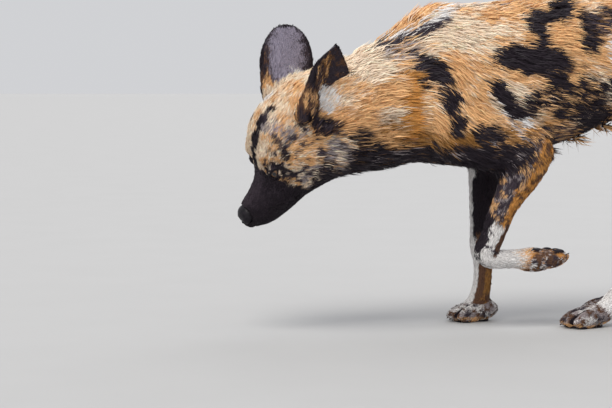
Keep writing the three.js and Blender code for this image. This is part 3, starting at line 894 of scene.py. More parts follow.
def head_colours(points, where, pick):
    out, along, up = where["head"].T
    fleck = rough_noise(points, 0.011, 15)
    colour = np.tile(COLOURS["cream"], (len(points), 1))
    warm = 0.4 + 0.8 * rough_noise(points, 0.02, 6) + 0.008 * (out - 20)
    colour = laid_on(colour, warm, "tan", pick * 0.7 + 0.2)
    cheek = smoothstep(62, 40, up) * smoothstep(18, 45, np.abs(out)) * smoothstep(20, 50, along)
    colour = layered(colour, pick, (cheek * (0.35 + 1.3 * fleck), "dark"),
                     (cheek * (0.2 + 1.2 * rough_noise(points, 0.013, 63)), "grey"))
    drift = 4 * np.stack([noise(points, 0.012, seed) for seed in (91, 92, 93)], 1)
    for ma, mu, mo, radius, name, strength in HEAD_MARKS:
        for mirror in (1, -1) if abs(mo) > 24 else (1,):
            away = np.stack([along - ma, up - mu, out * mirror - mo], 1) + drift
            size = np.linalg.norm(away, axis=1) / radius
            colour = laid_on(colour, strength * smoothstep(1.3, 0.6, size), name, pick)
    strand = rough_noise(points, 0.007, 16)
    colour = layered(colour, pick,
                     (cheek * (0.12 + 1.1 * strand) + 0.25 * strand * (up > 20), "dark"),
                     (cheek * (0.1 + 1.1 * rough_noise(points, 0.006, 18)), "cream"))
    colour = ear_fur_colours(colour, points, pick)
    muzzle = smoothstep(155, 167, along - 0.25 * up + 0.12 * np.abs(out) + 6 * fleck)
    jaw = smoothstep(-38, -58, up + 8 * fleck) * smoothstep(0, 30, along)
    colour = laid_on(colour, np.maximum(muzzle, jaw), "black", pick)
    spot = np.linalg.norm(np.stack([along - 186, (up - 10) * 1.5, np.abs(out) - 37], 1), axis=1)
    colour = laid_on(colour, smoothstep(11, 4, spot + 4 * fleck) * 0.9, "tan", pick)
    # Painted sheen: the top of the black muzzle and its bridge are lightened to dark grey, standing in for
    # light falling on them
    bridge = smoothstep(4, 14, up) * smoothstep(26, 12, np.abs(out))
    painted_sheen = 0.35 * smoothstep(-30, 0, up) + 0.8 * bridge + 0.4 * strand
    return laid_on(colour, muzzle * painted_sheen, "dark", pick)


def ear_fur_colours(colour, points, pick):
    """Dark and tan hair on the fold before each ear, a dark fringe under it and a white tuft in it."""
    fleck, fine = rough_noise(points, 0.009, 64), rough_noise(points * (1, 1, 0.4), 0.006, 65)
    for name, place in EARS.items():
        fold, tuft = ear_fur(points, name)
        x, y, z = ear_space(place).points_into(points).T / MM
        inside = fold * smoothstep(-8, -1, z)
        fringe = smoothstep(38, 28, np.abs(x)) * smoothstep(-20, -14, y) * smoothstep(2, -5, y)
        fringe *= smoothstep(30, 20, np.abs(z))
        colour = layered(colour, pick, (inside * 1.3, "dark"), (inside * (0.45 + 1.2 * fleck), "brown"),
                         (inside * (0.2 + 1.2 * fine), "tan"), (fringe * (0.8 + fleck), "black"),
                         (tuft * (0.75 + 1.1 * fine), "white"))
    return colour


def ear_colours(points, where, pick):
    share, across, inner = where["share"], where["across"], where["rise"] > 0
    fleck, fine = rough_noise(points, 0.009, 25), rough_noise(points * (1, 1, 0.35), 0.006, 26)
    ahead = np.where(of_part(where, "ear_left"), -across, across)
    # The back of the ear: violet in the middle, fading to dark towards its sides, is a painted sheen on
    # its dark hair
    back = layered(
        np.tile(COLOURS["violet"], (len(points), 1)), pick,
        (0.1 + 0.75 * smoothstep(0.35, 0.95, np.abs(across)) + 0.35 * fleck, "dark"),
        (smoothstep(0.16, 0.0, share) + 0.3 * fleck * smoothstep(0.4, 0.1, share), "tan"),
        (smoothstep(0.66, 0.85, ahead) * smoothstep(0.72, 0.5, share), "tan"))
    streak = smoothstep(-0.35, 0.1, ahead) * smoothstep(0.85, 0.5, ahead) * smoothstep(0.92, 0.7, share)
    front = layered(
        np.tile(COLOURS["dark"], (len(points), 1)), pick, (0.35 + 1.1 * fleck, "brown"),
        (streak * (0.45 + 1.1 * fine), "umber"), (streak * (0.1 + 1.1 * fine), "tan"))
    colour = ear_fur_colours(np.where(inner[:, None], front, back), points, pick)
    rim = np.maximum(smoothstep(0.8, 0.94, np.abs(across)), smoothstep(0.9, 0.97, share))
    return laid_on(colour, rim * smoothstep(0.1, 0.4, share), "black", pick)


def toe_gap_shade(points):
    """How far each point of the paws is towards a gap between toes, from 0 to 1, for the painted shade
    there.
    """
    gap = np.zeros(len(points))
    for limb in LIMBS.values():
        paw = paw_space(limb["paw"])
        out, along, up = paw.points_into(points).T / MM
        near = (np.abs(out) < 45) & (along > 20) & (along < 90) & (np.abs(up - 15) < 35)
        aside = np.min([np.abs(toe_space(paw, toe).points_into(points).T[0] / MM) for toe in TOES], axis=0)
        between = smoothstep(4.8, 6.8, aside) * smoothstep(21, 17, np.abs(out))
        gap = np.maximum(gap, near * between * smoothstep(30, 42, along))
    return gap


def limb_colours(points, where, pick):
    z, share, ahead = points[:, 2] / MM, where["share"], -where["rise"]
    fleck, fine = rough_noise(points, 0.014, 35), rough_noise(points, 0.007, 36)
    fore_left, fore_right = of_part(where, "lower_fore_left"), of_part(where, "lower_fore_right")
    hind, paw = of_part(where, "lower_hind"), of_part(where, "paw")
    arm = on(fore_left, smoothstep(0.52, 0.46, share + 0.03 * fleck))
    behind = arm * smoothstep(0.1, -0.25, ahead + 0.35 * fleck)
    carpus = on(fore_left, smoothstep(0.42, 0.48, share) * smoothstep(0.76, 0.64, share))
    shin = on(fore_right, smoothstep(0.62, 0.55, share))
    low_shin = on(fore_right, smoothstep(0.53, 0.6, share))
    lifted = on(of_part(where, "paw_fore_left"))
    gap = np.zeros(len(points))
    gap[paw] = toe_gap_shade(points[paw])
    return layered(
        np.tile(COLOURS["white"], (len(points), 1)), pick,
        # the lifted forearm, its carpus and its wrist
        (arm * 1.2, "dark"), (arm * (0.2 + 1.2 * fine), "grey"), (arm * (0.05 + 1.1 * fleck), "tan"),
        (behind * 1.2, "orange"),
        (behind * (0.3 + 1.2 * rough_noise(points * (1, 1, 2), 0.01, 37)), "brown"),
        (carpus * smoothstep(0.5, 0.8, ahead + 0.2 * fleck), "black"),
        (carpus * smoothstep(-0.25, -0.6, ahead + 0.2 * fleck), "brown"),
        (carpus * smoothstep(0.3, 0.6, fine), "dark"),
        (on(fore_left, smoothstep(0.8, 1.0, share)) * (0.7 + 0.6 * fleck), "tan"),
        # the planted foreleg
        (shin * smoothstep(0.97, 0.84, ahead + 0.08 * fleck) * 1.2, "black"),
        (low_shin * smoothstep(0.8, 0.6, ahead + 0.12 * fleck) * 1.2, "brown"),
        (low_shin * smoothstep(0.3, -0.1, ahead) * (0.4 + fleck), "umber"),
        # the hind legs
        (on(hind, smoothstep(0.3, 0.08, share + 0.08 * fleck)), "black"),
        (on(hind, smoothstep(0.25, 0.6, fleck) * smoothstep(0.75, 0.4, share)) * 0.6, "tan"),
        # the paws
        (on(paw, 0.75 + 0.9 * fleck), "grey"), (on(paw, 0.4 + 1.2 * fine), "brown"),
        (on(paw, 0.2 + 1.3 * rough_noise(points, 0.016, 38)), "dark"),
        (on(paw, smoothstep(15, 6, z) * (0.4 + fleck)), "tan"),
        (lifted * (0.5 + 0.9 * fleck), "orange"),
        (lifted * (0.3 + 1.2 * rough_noise(points, 0.008, 39)), "brown"),
        # painted shade: black in the gaps between the toes
        (gap * 1.3, "black"))


def tail_colours(points, where, pick):
    share, fleck = where["share"], rough_noise(points, 0.02, 45)
    return layered(
        np.tile(COLOURS["tan"], (len(points), 1)), pick, (0.2 + 0.9 * fleck, "black"),
        (smoothstep(0.24, 0.32, share + 0.05 * fleck), "black"),
        (smoothstep(0.46, 0.56, share + 0.06 * fleck), "white"))


def markings(points, where, pick):
    """Colour of the coat at each point, where pick from 0 to 1 says how readily it takes a marking."""
    trunk = body_colours(points, where, pick)
    colour = trunk.copy()
    distance, names = where["distance"], where["names"]
    body = distance[[k for k, name in enumerate(names) if name.startswith(("torso", "upper"))]].min(0)
    for start, paint in (("head", head_colours), ("ear", ear_colours), ("lower", limb_colours),
                         ("paw", limb_colours), ("tail", tail_colours)):
        here = np.nonzero(of_part(where, start))[0]
        own = {key: where[key][here] for key in ("part", "share", "across", "rise", "head")}
        own["names"] = names
        made = paint(points[here], own, pick[here])
        if start in ("head", "lower", "tail"):
            over = 0.5 + (body - distance[where["part"], np.arange(len(points))])[here] / 0.03
            shown = smoothstep(pick[here] * 0.5, pick[here] * 0.5 + 0.5, over)[:, None]
            made = trunk[here] + (made - trunk[here]) * shown
        colour[here] = made
    return colour


def coat_pieces(points, where):
    """Which points belong to each piece of the coat."""
    torso, head = of_part(where, "torso"), of_part(where, "head")
    behind = points[:, 1] > -0.16
    left = points[:, 0] > -MIDDLE[0] * MM
    left_face = where["head"][:, 0] > 0
    pieces = {
        "coat_head_left": head & left_face, "coat_head_right": head & ~left_face,
        "coat_ears": of_part(where, "ear"), "coat_neck": torso & ~behind,
        "coat_trunk_left": torso & behind & left, "coat_trunk_right": torso & behind & ~left,
        "coat_tail": of_part(where, "tail"),
    }
    for limb in LIMBS:
        own = [of_part(where, part + limb) for part in ("upper_", "lower_", "paw_")]
        pieces["coat_leg_" + limb] = np.any(own, axis=0)
    return pieces


SLOTS = {"coat_head": "coat_head", "coat_ears": "coat_ears", "coat_tail": "coat_tail",
         "coat_leg": "coat_legs"}


def slot_of(name):
    return next((slot for start, slot in SLOTS.items() if name.startswith(start)), "coat_body")


def scattered(weights, rng):
    """Indices drawn as often as their weights say, spread evenly along the list."""
    ends = np.cumsum(weights)
    return np.searchsorted(ends, np.arange(int(ends[-1])) + rng.random(int(ends[-1])))


def lock_centres(points, size, seed):
    """The middle of the lock that each point belongs to, from one jittered middle to a cell."""
    at = points / size + 500
    cell = np.floor(at).astype(np.int64)
    best, middle = np.full(len(points), 9.0), at.copy()
    for corner in range(27):
        near = cell + np.array([corner // 9 - 1, corner // 3 % 3 - 1, corner % 3 - 1])
        jitter = np.stack([lattice(*near.T, seed + k) for k in range(3)], 1) * 0.5 + 0.5
        away = ((near + jitter - at) ** 2).sum(1)
        closer = away < best
        best[closer], middle[closer] = away[closer], (near + jitter)[closer]
    return (middle - 500) * size


def rotated(along, across, angle):
    return along * np.cos(angle)[:, None] + across * np.sin(angle)[:, None]


def sampled(field, axes, points):
    """The field's value at each point, from the eight grid points round it."""
    corner, share = [], []
    for axis, values in zip(axes, points.T):
        i = np.clip(np.searchsorted(axis, values) - 1, 0, len(axis) - 2)
        corner.append(i)
        share.append(np.clip((values - axis[i]) / (axis[i + 1] - axis[i]), 0, 1))
    total = np.zeros(len(points))
    for which in range(8):
        step = [(which >> k) & 1 for k in range(3)]
        weight = np.prod([f if s else 1 - f for f, s in zip(share, step)], axis=0)
        total += weight * field[tuple(i + s for i, s in zip(corner, step))]
    return total


def settled(points, height, normals, most, field):
    """The points moved along their normals until they are a height above the skin."""
    off = sampled(field, GRID, points) - height
    return points - normals * np.clip(off, -most, most)[:, None]


def blades(roots, normals, flow, length, lift, wave, width, rng, field):
    """Five points to a tuft: two at its root, two halfway and its tip, bent over and drawn into locks."""
    many = len(roots)
    size = np.clip(length * 0.3, 0.003, 0.011)
    lock = lock_centres(roots / size[:, None] * 0.01, 0.01, 3) / 0.01 * size[:, None]
    tag = noise(lock, 0.004, 17)
    across = np.cross(normals, flow)
    sway = np.radians(wave * tag * 1.3 + rng.normal(0, 7, many))
    first = rotated(flow, across, sway)
    second = rotated(flow, across, -sway * 0.5 + np.radians(rng.normal(0, 6, many)))
    raised = np.radians(np.clip(lift * (1 + 0.5 * tag) + rng.normal(0, 4, many), 2, 50))
    length = length * rng.uniform(0.7, 1.15, many) * (1 + 0.15 * tag)
    middle = roots + (length * 0.5)[:, None] * rotated(first, normals, raised)
    tip = middle + (length * 0.5)[:, None] * rotated(second, normals, raised * 0.25)
    pull = lock - roots
    pull -= normals * (pull * normals).sum(1, keepdims=True)
    half = length * 0.5
    middle = settled(middle + pull * 0.15, half * np.sin(raised), normals, half * 0.5, field)
    tip_height = half * (np.sin(raised) + np.sin(raised * 0.25))
    tip = settled(tip + pull * 0.5, tip_height, normals, half * 0.9, field)
    roll = rng.normal(0, 0.45, many)
    flat = rotated(np.cross(normals, first), normals, roll) * (width / 2)[:, None]
    start = roots - normals * 0.0006
    made = np.stack([start - flat * 0.8, start + flat * 0.8, middle - flat, middle + flat, tip], 1)
    made[..., 2] = np.maximum(made[..., 2], 0.0002)
    return made


BLADE_FACES = np.array([(0, 1, 3), (0, 3, 2), (2, 3, 4)])
BLADE_UV = np.array([(-0.4, -0.5), (0.4, -0.5), (-0.5, 0.0), (0.5, 0.0), (0.0, 0.5)]) * 0.003
BLADE_STRAND = np.array([(-0.4, 0), (0.4, 0), (-0.5, 0.5), (0.5, 0.5), (0, 1)])
ROOT_SHADE = np.array([0.55, 0.55, 0.92, 0.92, 1.1])


def bake_places(where, here):
    """Each point's place on an unwrap of its part: round the bone, along it, one part beside another."""
    part = where["part"][here]
    order = np.unique(part)
    column = np.searchsorted(order, part)
    turn = np.arctan2(where["across"][here], where["rise"][here]) / (2 * math.pi) + 0.5
    turn = np.where(of_part(where, "ear")[here], where["across"][here] * 0.24 + 0.25
                    + 0.5 * (where["rise"][here] > 0), turn)
    inset = 0.004
    u = (column + np.clip(turn, 0.01, 0.99)) / len(order)
    v = np.clip(where["share"][here], 0, 1)
    return inset + (1 - 2 * inset) * np.stack([u, v], 1)


def tuft_piece(name, here, root, material, field):
    """One piece of the coat from the roots that are marked in here."""
    rng = np.random.default_rng(SEED + len(name) + int(here.sum()))
    roots, normals, flow = root["point"][here], root["normal"][here], root["flow"][here]
    length = root["length"][here]
    width = 0.0007 + 0.038 * length
    wave = 17 + 10 * smoothstep(0.012, 0.035, length)
    points = blades(roots, normals, flow, length, root["lift"][here], wave, width, rng, field)
    many = len(roots)
    faces = (np.arange(many) * 5)[:, None, None] + BLADE_FACES
    made = new_object(name, points.reshape(-1, 3), faces.reshape(-1, 3), material)
    tone = np.exp(rng.normal(0, 0.13, many))[:, None, None] * ROOT_SHADE[None, :, None]
    colour = np.clip(root["colour"][here][:, None, :] * tone, 0, 1)
    rgba = np.concatenate([colour, np.ones((many, 5, 1))], 2)
    give(made.data, "Coat", "FLOAT_COLOR", rgba)
    strand = np.zeros((many, 5, 3))
    strand[:, :, :2] = BLADE_STRAND
    strand[:, :, 0] *= (width / 0.0006)[:, None]
    strand[:, :, 2] = rng.random(many)[:, None] * 400
    give(made.data, "Strand", "FLOAT_VECTOR", strand)
    layer = made.data.uv_layers.new(name="OFBake", do_init=False)
    uv = bake_places(root["where"], here)[:, None, :] + BLADE_UV
    layer.uv.foreach_set("vector", uv[:, BLADE_FACES.ravel()].astype(np.float32).ravel())
    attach(made, "root")
    slot_of(name)
    return made


def make_coat(mesh, quads, material, field):
    """Draws the roots over the skin's faces and makes each piece of the coat."""
    rng = np.random.default_rng(SEED)
    points = np.zeros(len(mesh.vertices) * 3, np.float32)
    mesh.vertices.foreach_get("co", points)
    points, normals = points.reshape(-1, 3).astype(float), point_normals(mesh)
    where = locate(points)
    length, lift, number = hair(points, normals, where)
    corners = points[quads]
    diagonals = corners[:, 2] - corners[:, 0], corners[:, 3] - corners[:, 1]
    area = np.linalg.norm(np.cross(*diagonals), axis=1) / 2
    number = number * bare_share(points, where)
    weights = area / MM**2 * number[quads].mean(1) * DENSITY
    face = scattered(weights, rng)
    s, t = rng.random((2, len(face), 1))
    mix = np.concatenate([(1 - s) * (1 - t), s * (1 - t), s * t, (1 - s) * t], 1)

    def blended(values):
        return np.einsum("nk,nk...->n...", mix, values[quads[face]])

    values = {"point": points, "normal": normals, "length": length, "lift": lift}
    root = {name: blended(value) for name, value in values.items()}
    root["normal"] /= np.linalg.norm(root["normal"], axis=1, keepdims=True)
    root["where"] = locate(root["point"])
    root["flow"] = lie(root["point"], root["normal"], root["where"])
    shown = root["point"] + root["flow"] * (root["length"] * 0.5)[:, None]
    seen = dict(root["where"], head=SKULL.points_into(shown) / MM)
    root["colour"] = markings(shown, seen, rng.random(len(face)))
    for name, here in coat_pieces(root["point"], root["where"]).items():
        tuft_piece(name, here, root, material, field)
    return points, where


def bare_share(points, where):
    """How much of the coat grows at each point: none on the eyes, nose and pads."""
    share = np.ones(len(points))
    for side in (1, -1):
        eye = eye_space(side)
        away = np.linalg.norm((eye.points_into(points) - (0, 0, 0.009)) / (1.25, 1, 1), axis=1)
        share *= smoothstep(0.0075, 0.011, away)
    out, along, up = where["head"].T
    nose = np.stack([out, along - NOSE["along"], up - NOSE["up"]], 1) / NOSE["halves"]
    share *= smoothstep(1.02, 1.12, np.linalg.norm(nose, axis=1))
    share *= 1 - pad_share(points)
    return share


# Materials

def nodes_of(name):
    material = bpy.data.materials.new(name)
    material.use_nodes = True
    tree = material.node_tree
    shader = tree.nodes["Principled BSDF"]
    return material, tree, shader


def node(tree, kind, inputs=(), **settings):
    """A node with its settings, and its inputs given as values or as sockets to link from."""
    made = tree.nodes.new("ShaderNode" + kind)
    for key, value in settings.items():
        setattr(made, key, value)
    for key, value in dict(inputs).items():
        if isinstance(value, bpy.types.NodeSocket):
            tree.links.new(value, made.inputs[key])
        else:
            made.inputs[key].default_value = value
    return made


def times(tree, colour, light, shader):
    """The shader's colour as a colour times a tone."""
    made = node(tree, "VectorMath", {0: colour, 1: light}, operation="MULTIPLY")
    tree.links.new(made.outputs["Vector"], shader.inputs["Base Color"])


def coat_material(name, roughness, tone):
    """Hair coloured by the coat's markings, with finer strands of lighter and darker tone."""
    material, tree, shader = nodes_of(name)
    coat = node(tree, "Attribute", attribute_name="Coat")
    strand = node(tree, "Attribute", attribute_name="Strand")
    fine = node(tree, "TexNoise", {"Vector": strand.outputs["Vector"], "Scale": 1.4, "Detail": 2.0})
    light = node(tree, "MapRange", {"Value": fine.outputs["Fac"], "From Min": 0.3, "From Max": 0.7,
                                    "To Min": 0.62 * tone, "To Max": 1.3 * tone})
    times(tree, coat.outputs["Color"], light.outputs["Result"], shader)
    bump = node(tree, "Bump", {"Height": fine.outputs["Fac"], "Strength": 0.25, "Distance": 0.0004})
    tree.links.new(bump.outputs["Normal"], shader.inputs["Normal"])
    shader.inputs["Roughness"].default_value = roughness
    shader.inputs["Specular IOR Level"].default_value = 0.25
    return material


def hard_material(name, dark, pale, scale, roughness, bump, wet=0.0, cells=False):
    """Bare skin, horn or gristle: two tones mixed by noise, with a fine relief."""
    material, tree, shader = nodes_of(name)
    place = node(tree, "TexCoord").outputs["Object"]
    blotch = node(tree, "TexNoise", {"Vector": place, "Scale": scale, "Detail": 4.0})
    ramp = node(tree, "MapRange", {"Value": blotch.outputs["Fac"], "From Min": 0.35, "From Max": 0.7})
    mix = node(tree, "Mix", data_type="RGBA")
    mix.inputs[6].default_value, mix.inputs[7].default_value = (*dark, 1), (*pale, 1)
    tree.links.new(ramp.outputs["Result"], mix.inputs[0])
    tree.links.new(mix.outputs[2], shader.inputs["Base Color"])
    relief = node(tree, "TexVoronoi", {"Vector": place, "Scale": scale * 5}).outputs["Distance"]
    if not cells:
        relief = node(tree, "TexNoise", {"Vector": place, "Scale": scale * 4, "Detail": 5.0})
        relief = relief.outputs["Fac"]
    raised = node(tree, "Bump", {"Height": relief, "Strength": bump, "Distance": 0.0005})
    tree.links.new(raised.outputs["Normal"], shader.inputs["Normal"])
    rough = node(tree, "MapRange", {"Value": blotch.outputs["Fac"], "To Min": roughness * 0.8,
                                    "To Max": roughness * 1.25})
    tree.links.new(rough.outputs["Result"], shader.inputs["Roughness"])
    shader.inputs["Specular IOR Level"].default_value = 0.15
    shader.inputs["Coat Weight"].default_value = wet
    shader.inputs["Coat Roughness"].default_value = 0.12
    return material


def eye_material():
    """Colour by the rings of the eye, streaked outward, under a wet front."""
    material, tree, shader = nodes_of("eye")
    iris = node(tree, "Attribute", attribute_name="Coat")
    streak = node(tree, "Attribute", attribute_name="Strand")
    fine = node(tree, "TexNoise", {"Vector": streak.outputs["Vector"], "Scale": 1.0, "Detail": 3.0})
    light = node(tree, "MapRange", {"Value": fine.outputs["Fac"], "To Min": 0.4, "To Max": 1.7})
    times(tree, iris.outputs["Color"], light.outputs["Result"], shader)
    shader.inputs["Roughness"].default_value = 0.12
    shader.inputs["Coat Weight"].default_value = 0.4
    shader.inputs["Coat Roughness"].default_value = 0.03
    return material


def floor_material():
    material, tree, shader = nodes_of("floor")
    place = node(tree, "TexCoord").outputs["Object"]
    fine = node(tree, "TexNoise", {"Vector": place, "Scale": 6.0, "Detail": 6.0})
    tone = node(tree, "MapRange", {"Value": fine.outputs["Fac"], "To Min": 0.43, "To Max": 0.455})
    grey = node(tree, "CombineColor", {k: tone.outputs["Result"] for k in ("Red", "Green", "Blue")})
    tree.links.new(grey.outputs["Color"], shader.inputs["Base Color"])
    shader.inputs["Roughness"].default_value = 0.85
    return material


# Smaller pieces

def tube(rings, looped=False):
    """Points and triangles of a tube through rings of points, closed into a loop or at both ends."""
    many, around, _ = rings.shape
    here = np.arange(many if looped else many - 1)[:, None] * around
    there = (here + around) % (many * around)
    k = np.arange(around)[None]
    after = (k + 1) % around
    corners = [here + k, here + after, there + after, there + k]
    faces = [np.stack([corners[i] for i in turn], -1).reshape(-1, 3) for turn in ((0, 1, 2), (0, 2, 3))]
    points = rings.reshape(-1, 3)
    if not looped:
        points = np.vstack([points, rings[0].mean(0), rings[-1].mean(0)])
        ring, last = k[0], len(points) - 2
        faces.append(np.stack([ring, np.full(around, last), after[0]], 1))
        ring, after = ring + (many - 1) * around, after[0] + (many - 1) * around
        faces.append(np.stack([ring, after, np.full(around, last + 1)], 1))
    return points, np.vstack(faces)


def outward(points, faces):
    """The faces turned so that they look out."""
    a, b, c = (points[faces[:, k]] for k in range(3))
    return faces if (a * np.cross(b, c)).sum() > 0 else faces[:, ::-1]


def joined(meshes):
    """Several meshes of points and faces as one."""
    starts = np.cumsum([0] + [len(points) for points, _ in meshes[:-1]])
    points = np.vstack([points for points, _ in meshes])
    faces = [outward(p - p.mean(0), f) + start for (p, f), start in zip(meshes, starts)]
    return points, np.vstack(faces)


def piece(name, meshes, material, replaced=()):
    made = new_object(name, *joined(meshes), material)
    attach(made, "root")
    if replaced:
        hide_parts(*replaced)
    return made


# Angle from the eye's gaze, and the colour there
EYE_RINGS = [(0, (0.004, 0.004, 0.005)), (0.3, (0.004, 0.004, 0.005)), (0.36, (0.11, 0.05, 0.018)),
             (0.62, (0.16, 0.075, 0.025)), (0.72, (0.012, 0.009, 0.008)), (1.2, (0.2, 0.15, 0.12)),
             (math.pi, (0.2, 0.15, 0.12))]


def eyeball(side, name, material):
    eye = eye_space(side)
    angle = np.linspace(0.03, math.pi - 0.03, 40)[:, None]
    turn = np.linspace(0, 2 * math.pi, 40, endpoint=False)[None]
    radius = (EYE["radius"] - 0.7) * MM * (1 + 0.05 * smoothstep(0.75, 0.3, angle))
    local = [radius * np.sin(angle) * np.cos(turn), radius * np.sin(angle) * np.sin(turn),
             radius * np.cos(angle) * np.ones_like(turn)]
    rings = eye.origin + np.stack(local, -1) @ eye.axes
    made = piece("eyeball_" + name, [tube(rings)], material, ["eye_" + name])
    spots = np.concatenate([np.repeat(angle.ravel(), 40), [0, math.pi]])
    angles, tones = zip(*EYE_RINGS)
    colour = np.stack([np.interp(spots, angles, channel) for channel in zip(*tones)], 1)
    give(made.data, "Coat", "FLOAT_COLOR", np.column_stack([colour, np.ones(len(colour))]))
    ways = np.concatenate([np.tile(turn.ravel(), 40), [0, 0]])
    strands = np.column_stack([np.cos(ways) * 9, np.sin(ways) * 9, spots * 2])
    give(made.data, "Strand", "FLOAT_VECTOR", strands)


def lid_rims(material):
    """A wet dark rim round each opening of the lids."""
    rims = []
    for side in (1, -1):
        eye = eye_space(side)
        a = np.linspace(0, 2 * math.pi, 48, endpoint=False)
        x, y = 9.0 * np.cos(a), 5.0 * np.sin(a) * (1 - 0.15 * np.cos(a))
        z = np.sqrt((EYE["radius"] + 0.1) ** 2 - x**2 - y**2)
        path = np.stack([x, y, z], 1)
        along = np.roll(path, -1, 0) - np.roll(path, 1, 0)
        along /= np.linalg.norm(along, axis=1, keepdims=True)
        away = path / np.linalg.norm(path, axis=1, keepdims=True)
        beside_it = np.cross(along, away)
        turn = np.linspace(0, 2 * math.pi, 10, endpoint=False)
        thick = 1.1 + 0.25 * (y > 0)
        cosine, sine = (values[None, :, None] for values in (np.cos(turn), np.sin(turn)))
        round_it = away[:, None] * cosine + beside_it[:, None] * sine
        rings = path[:, None] + thick[:, None, None] * round_it
        rims.append(tube(eye.origin + rings * MM @ eye.axes, looped=True))
    piece("lid_rims", rims, material)


def nose_pad(material):
    """The bare nose, with its wings, nostrils and middle groove."""
    centre = in_head(NOSE["along"], NOSE["up"], 0)
    axes = [np.arange(c - 0.028, c + 0.028, 0.0008) for c in centre]
    field = np.full([len(a) for a in axes], BIG, np.float32)
    on_grid(Blob(centre, NOSE["halves"], SKULL), axes, field)
    for side in (1, -1):
        add(field, axes, head_blob(NOSE_WING, side), 0.003)
        for hollow in (NOSTRIL, NOSE_SLIT):
            carve(field, axes, head_blob(hollow, side), 0.0015)
    carve(field, axes, head_blob(NOSE_GROOVE), 0.0015)
    points, quads = surface(field, axes)
    made = new_object("nose_pad", points, outward(points - points.mean(0), quads), material)
    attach(made, "root")
    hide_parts("nose")


def claws(name, limb, material):
    """The four claws of a paw, each curved down to its tip."""
    paw = paw_space(limb["paw"])
    share = np.linspace(0, 1, 12)
    turn = np.linspace(0, 2 * math.pi, 12, endpoint=False)
    radius = CLAW["radius"] * np.sqrt(1 - 0.97 * share**1.6)
    made = []
    for toe in TOES:
        along, up = CLAW["start"] + share * CLAW["length"], CLAW["up"] - share**2 * CLAW["droop"]
        centre = np.stack([0 * share, along, up], 1)
        ring = np.stack([0.62 * np.cos(turn), 0 * turn, np.sin(turn)], 1)
        local = centre[:, None] + radius[:, None, None] * ring[None]
        space = toe_space(paw, toe)
        made.append(tube(space.origin + local * MM @ space.axes))
    piece("claws_" + name, made, material)


# Whiskers: along the nose, up, how far back they lean and their length
WHISKERS = [
    (226, -12, 0.5, 20), (219, -10, 0.6, 24), (211, -9, 0.7, 28), (203, -9, 0.8, 30), (194, -8, 0.9, 26),
    (223, -19, 0.5, 22), (214, -18, 0.6, 28), (205, -17, 0.8, 32), (196, -17, 0.9, 30),
    (218, -27, 0.5, 20), (208, -26, 0.7, 26), (198, -25, 0.9, 28), (157, 44, 0.3, 22), (150, 47, 0.4, 20),
]


def whiskers(field, material):
    made = []
    turn = np.linspace(0, 2 * math.pi, 4, endpoint=False)
    for side in (1, -1):
        for along, up, lean, length in WHISKERS:
            outs = np.linspace(5, 80, 120)
            line = np.stack([side * outs, 0 * outs + along, 0 * outs + up], 1)
            line = SKULL.origin + line * MM @ SKULL.axes
            start = outs[np.argmax(sampled(field, GRID, line) > 0)]
            share = np.linspace(0, 1, 7)[:, None]
            straight, bend = np.array([(side * 0.75, -lean * 0.6, 0), (side * -0.1, -0.25, -0.3)])
            path = np.array([side * start, along, up]) + length * (share * straight + share**2 * bend)
            radius = 0.28 * (1 - 0.85 * share)
            ring = np.stack([0 * turn, np.cos(turn), np.sin(turn)], 1)
            rings = path[:, None] + radius[:, None] * ring[None]
            made.append(tube(SKULL.origin + rings * MM @ SKULL.axes))
    piece("whiskers", made, material)


# The whole dog

def body_skin(material):
    """The one skin of the body, with the field and the faces that it was drawn from."""
    field = body_field(GRID)
    paw_pads(field, GRID)
    face_details(field, GRID)
    teats(field, GRID)
    field = np.maximum(field, -GRID[2].astype(np.float32))
    points, quads = surface(field, GRID)
    skin = new_object("skin", points, outward(points, quads), material)
    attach(skin, "root")
    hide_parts(*[name for name in frame["nodes"] if not name.startswith(("eye_", "nose"))])
    return skin, quads, field


def pad_share(points):
    """Where the pads are bare, from 0 to 1."""
    least = np.full(len(points), BIG)
    for limb in LIMBS.values():
        for pad in pads(limb):
            low, high, _ = next(pad.spans())
            near = span_points(points, low, high)
            least[near] = np.minimum(least[near], pad.distance(*points[near].T, 0))
    return smoothstep(0.0012, 0, least)


def paint_skin(skin, points, where):
    """The same markings on the skin, with dark pads."""
    colour = markings(points, where, np.full(len(points), 0.5))
    bare = pad_share(points)[:, None]
    colour = colour * (1 - bare) + COLOURS["black"] * bare
    give(skin.data, "Coat", "FLOAT_COLOR", np.column_stack([colour, np.ones(len(points))]))
    give(skin.data, "Strand", "FLOAT_VECTOR", points * 900)
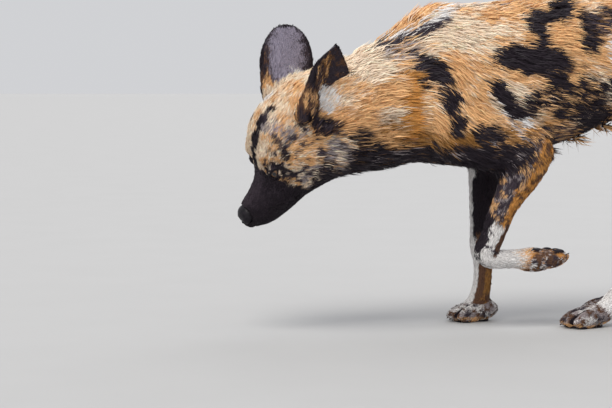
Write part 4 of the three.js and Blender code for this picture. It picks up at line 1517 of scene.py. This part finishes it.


# The skin takes the coat's markings at 0.62 of their brightness: painted shade between the tufts
skin, quads, field = body_skin(coat_material("skin", roughness=0.75, tone=0.62))
points, where = make_coat(skin.data, quads, coat_material("coat", roughness=0.55, tone=1.0), field)
paint_skin(skin, points, where)
wet_skin = hard_material("wet_skin", dark=(0.004, 0.003, 0.005), pale=(0.016, 0.012, 0.017), scale=180,
                         roughness=0.45, bump=0.5, wet=0.05, cells=True)
horn = hard_material("horn", dark=(0.012, 0.009, 0.008), pale=(0.07, 0.05, 0.04), scale=260,
                     roughness=0.35, bump=0.2)
bristle = hard_material("bristle", dark=(0.01, 0.008, 0.008), pale=(0.05, 0.04, 0.04), scale=300,
                        roughness=0.5, bump=0.1)
eye_wet = eye_material()
for side, name in ((1, "left"), (-1, "right")):
    eyeball(side, name, eye_wet)
lid_rims(wet_skin)
nose_pad(wet_skin)
for name, limb in LIMBS.items():
    claws(name, limb, horn)
whiskers(field, bristle)


# Stage, light and camera

def look_at(thing, target):
    thing.rotation_euler = (Vector(target) - thing.location).to_track_quat("-Z", "Y").to_euler()


def stage():
    corners = np.array([(-60, -60, 0), (60, -60, 0), (60, 60, 0), (-60, 60, 0)], float)
    floor = new_object("floor", corners, np.array([[0, 1, 2, 3]]), floor_material())


def light(name, place, softness, strength, colour):
    """A far soft light that shines from a place towards the dog."""
    data = bpy.data.lights.new(name, "SUN")
    data.angle, data.energy, data.color = math.radians(softness), strength, colour
    lamp = bpy.data.objects.new(name, data)
    lamp.location = place
    look_at(lamp, (0, 0, 0))
    bpy.context.scene.collection.objects.link(lamp)


def world():
    made = bpy.data.worlds.new("studio")
    made.use_nodes = True
    background = made.node_tree.nodes["Background"]
    background.inputs["Color"].default_value = (0.96, 0.97, 1, 1)
    background.inputs["Strength"].default_value = 0.66
    bpy.context.scene.world = made
    bpy.context.scene.view_settings.view_transform = "Standard"


CAMERA = {"at": (2.94135, -1.11023, 0.42397), "target": (-0.15603, -0.33797, 0.20075), "lens": 109.44}


def camera():
    data = bpy.data.cameras.new("camera")
    data.lens, data.sensor_width = CAMERA["lens"], 36
    data.clip_start, data.clip_end = 0.05, 40
    made = bpy.data.objects.new("camera", data)
    made.location = CAMERA["at"]
    look_at(made, CAMERA["target"])
    bpy.context.scene.collection.objects.link(made)
    bpy.context.scene.camera = made


stage()
light("key", place=(1.6, -1.4, 3.2), softness=35, strength=2.2, colour=(1, 0.97, 0.92))
light("fill", place=(-2.0, 1.6, 2.0), softness=60, strength=0.9, colour=(0.93, 0.95, 1))
world()
camera()
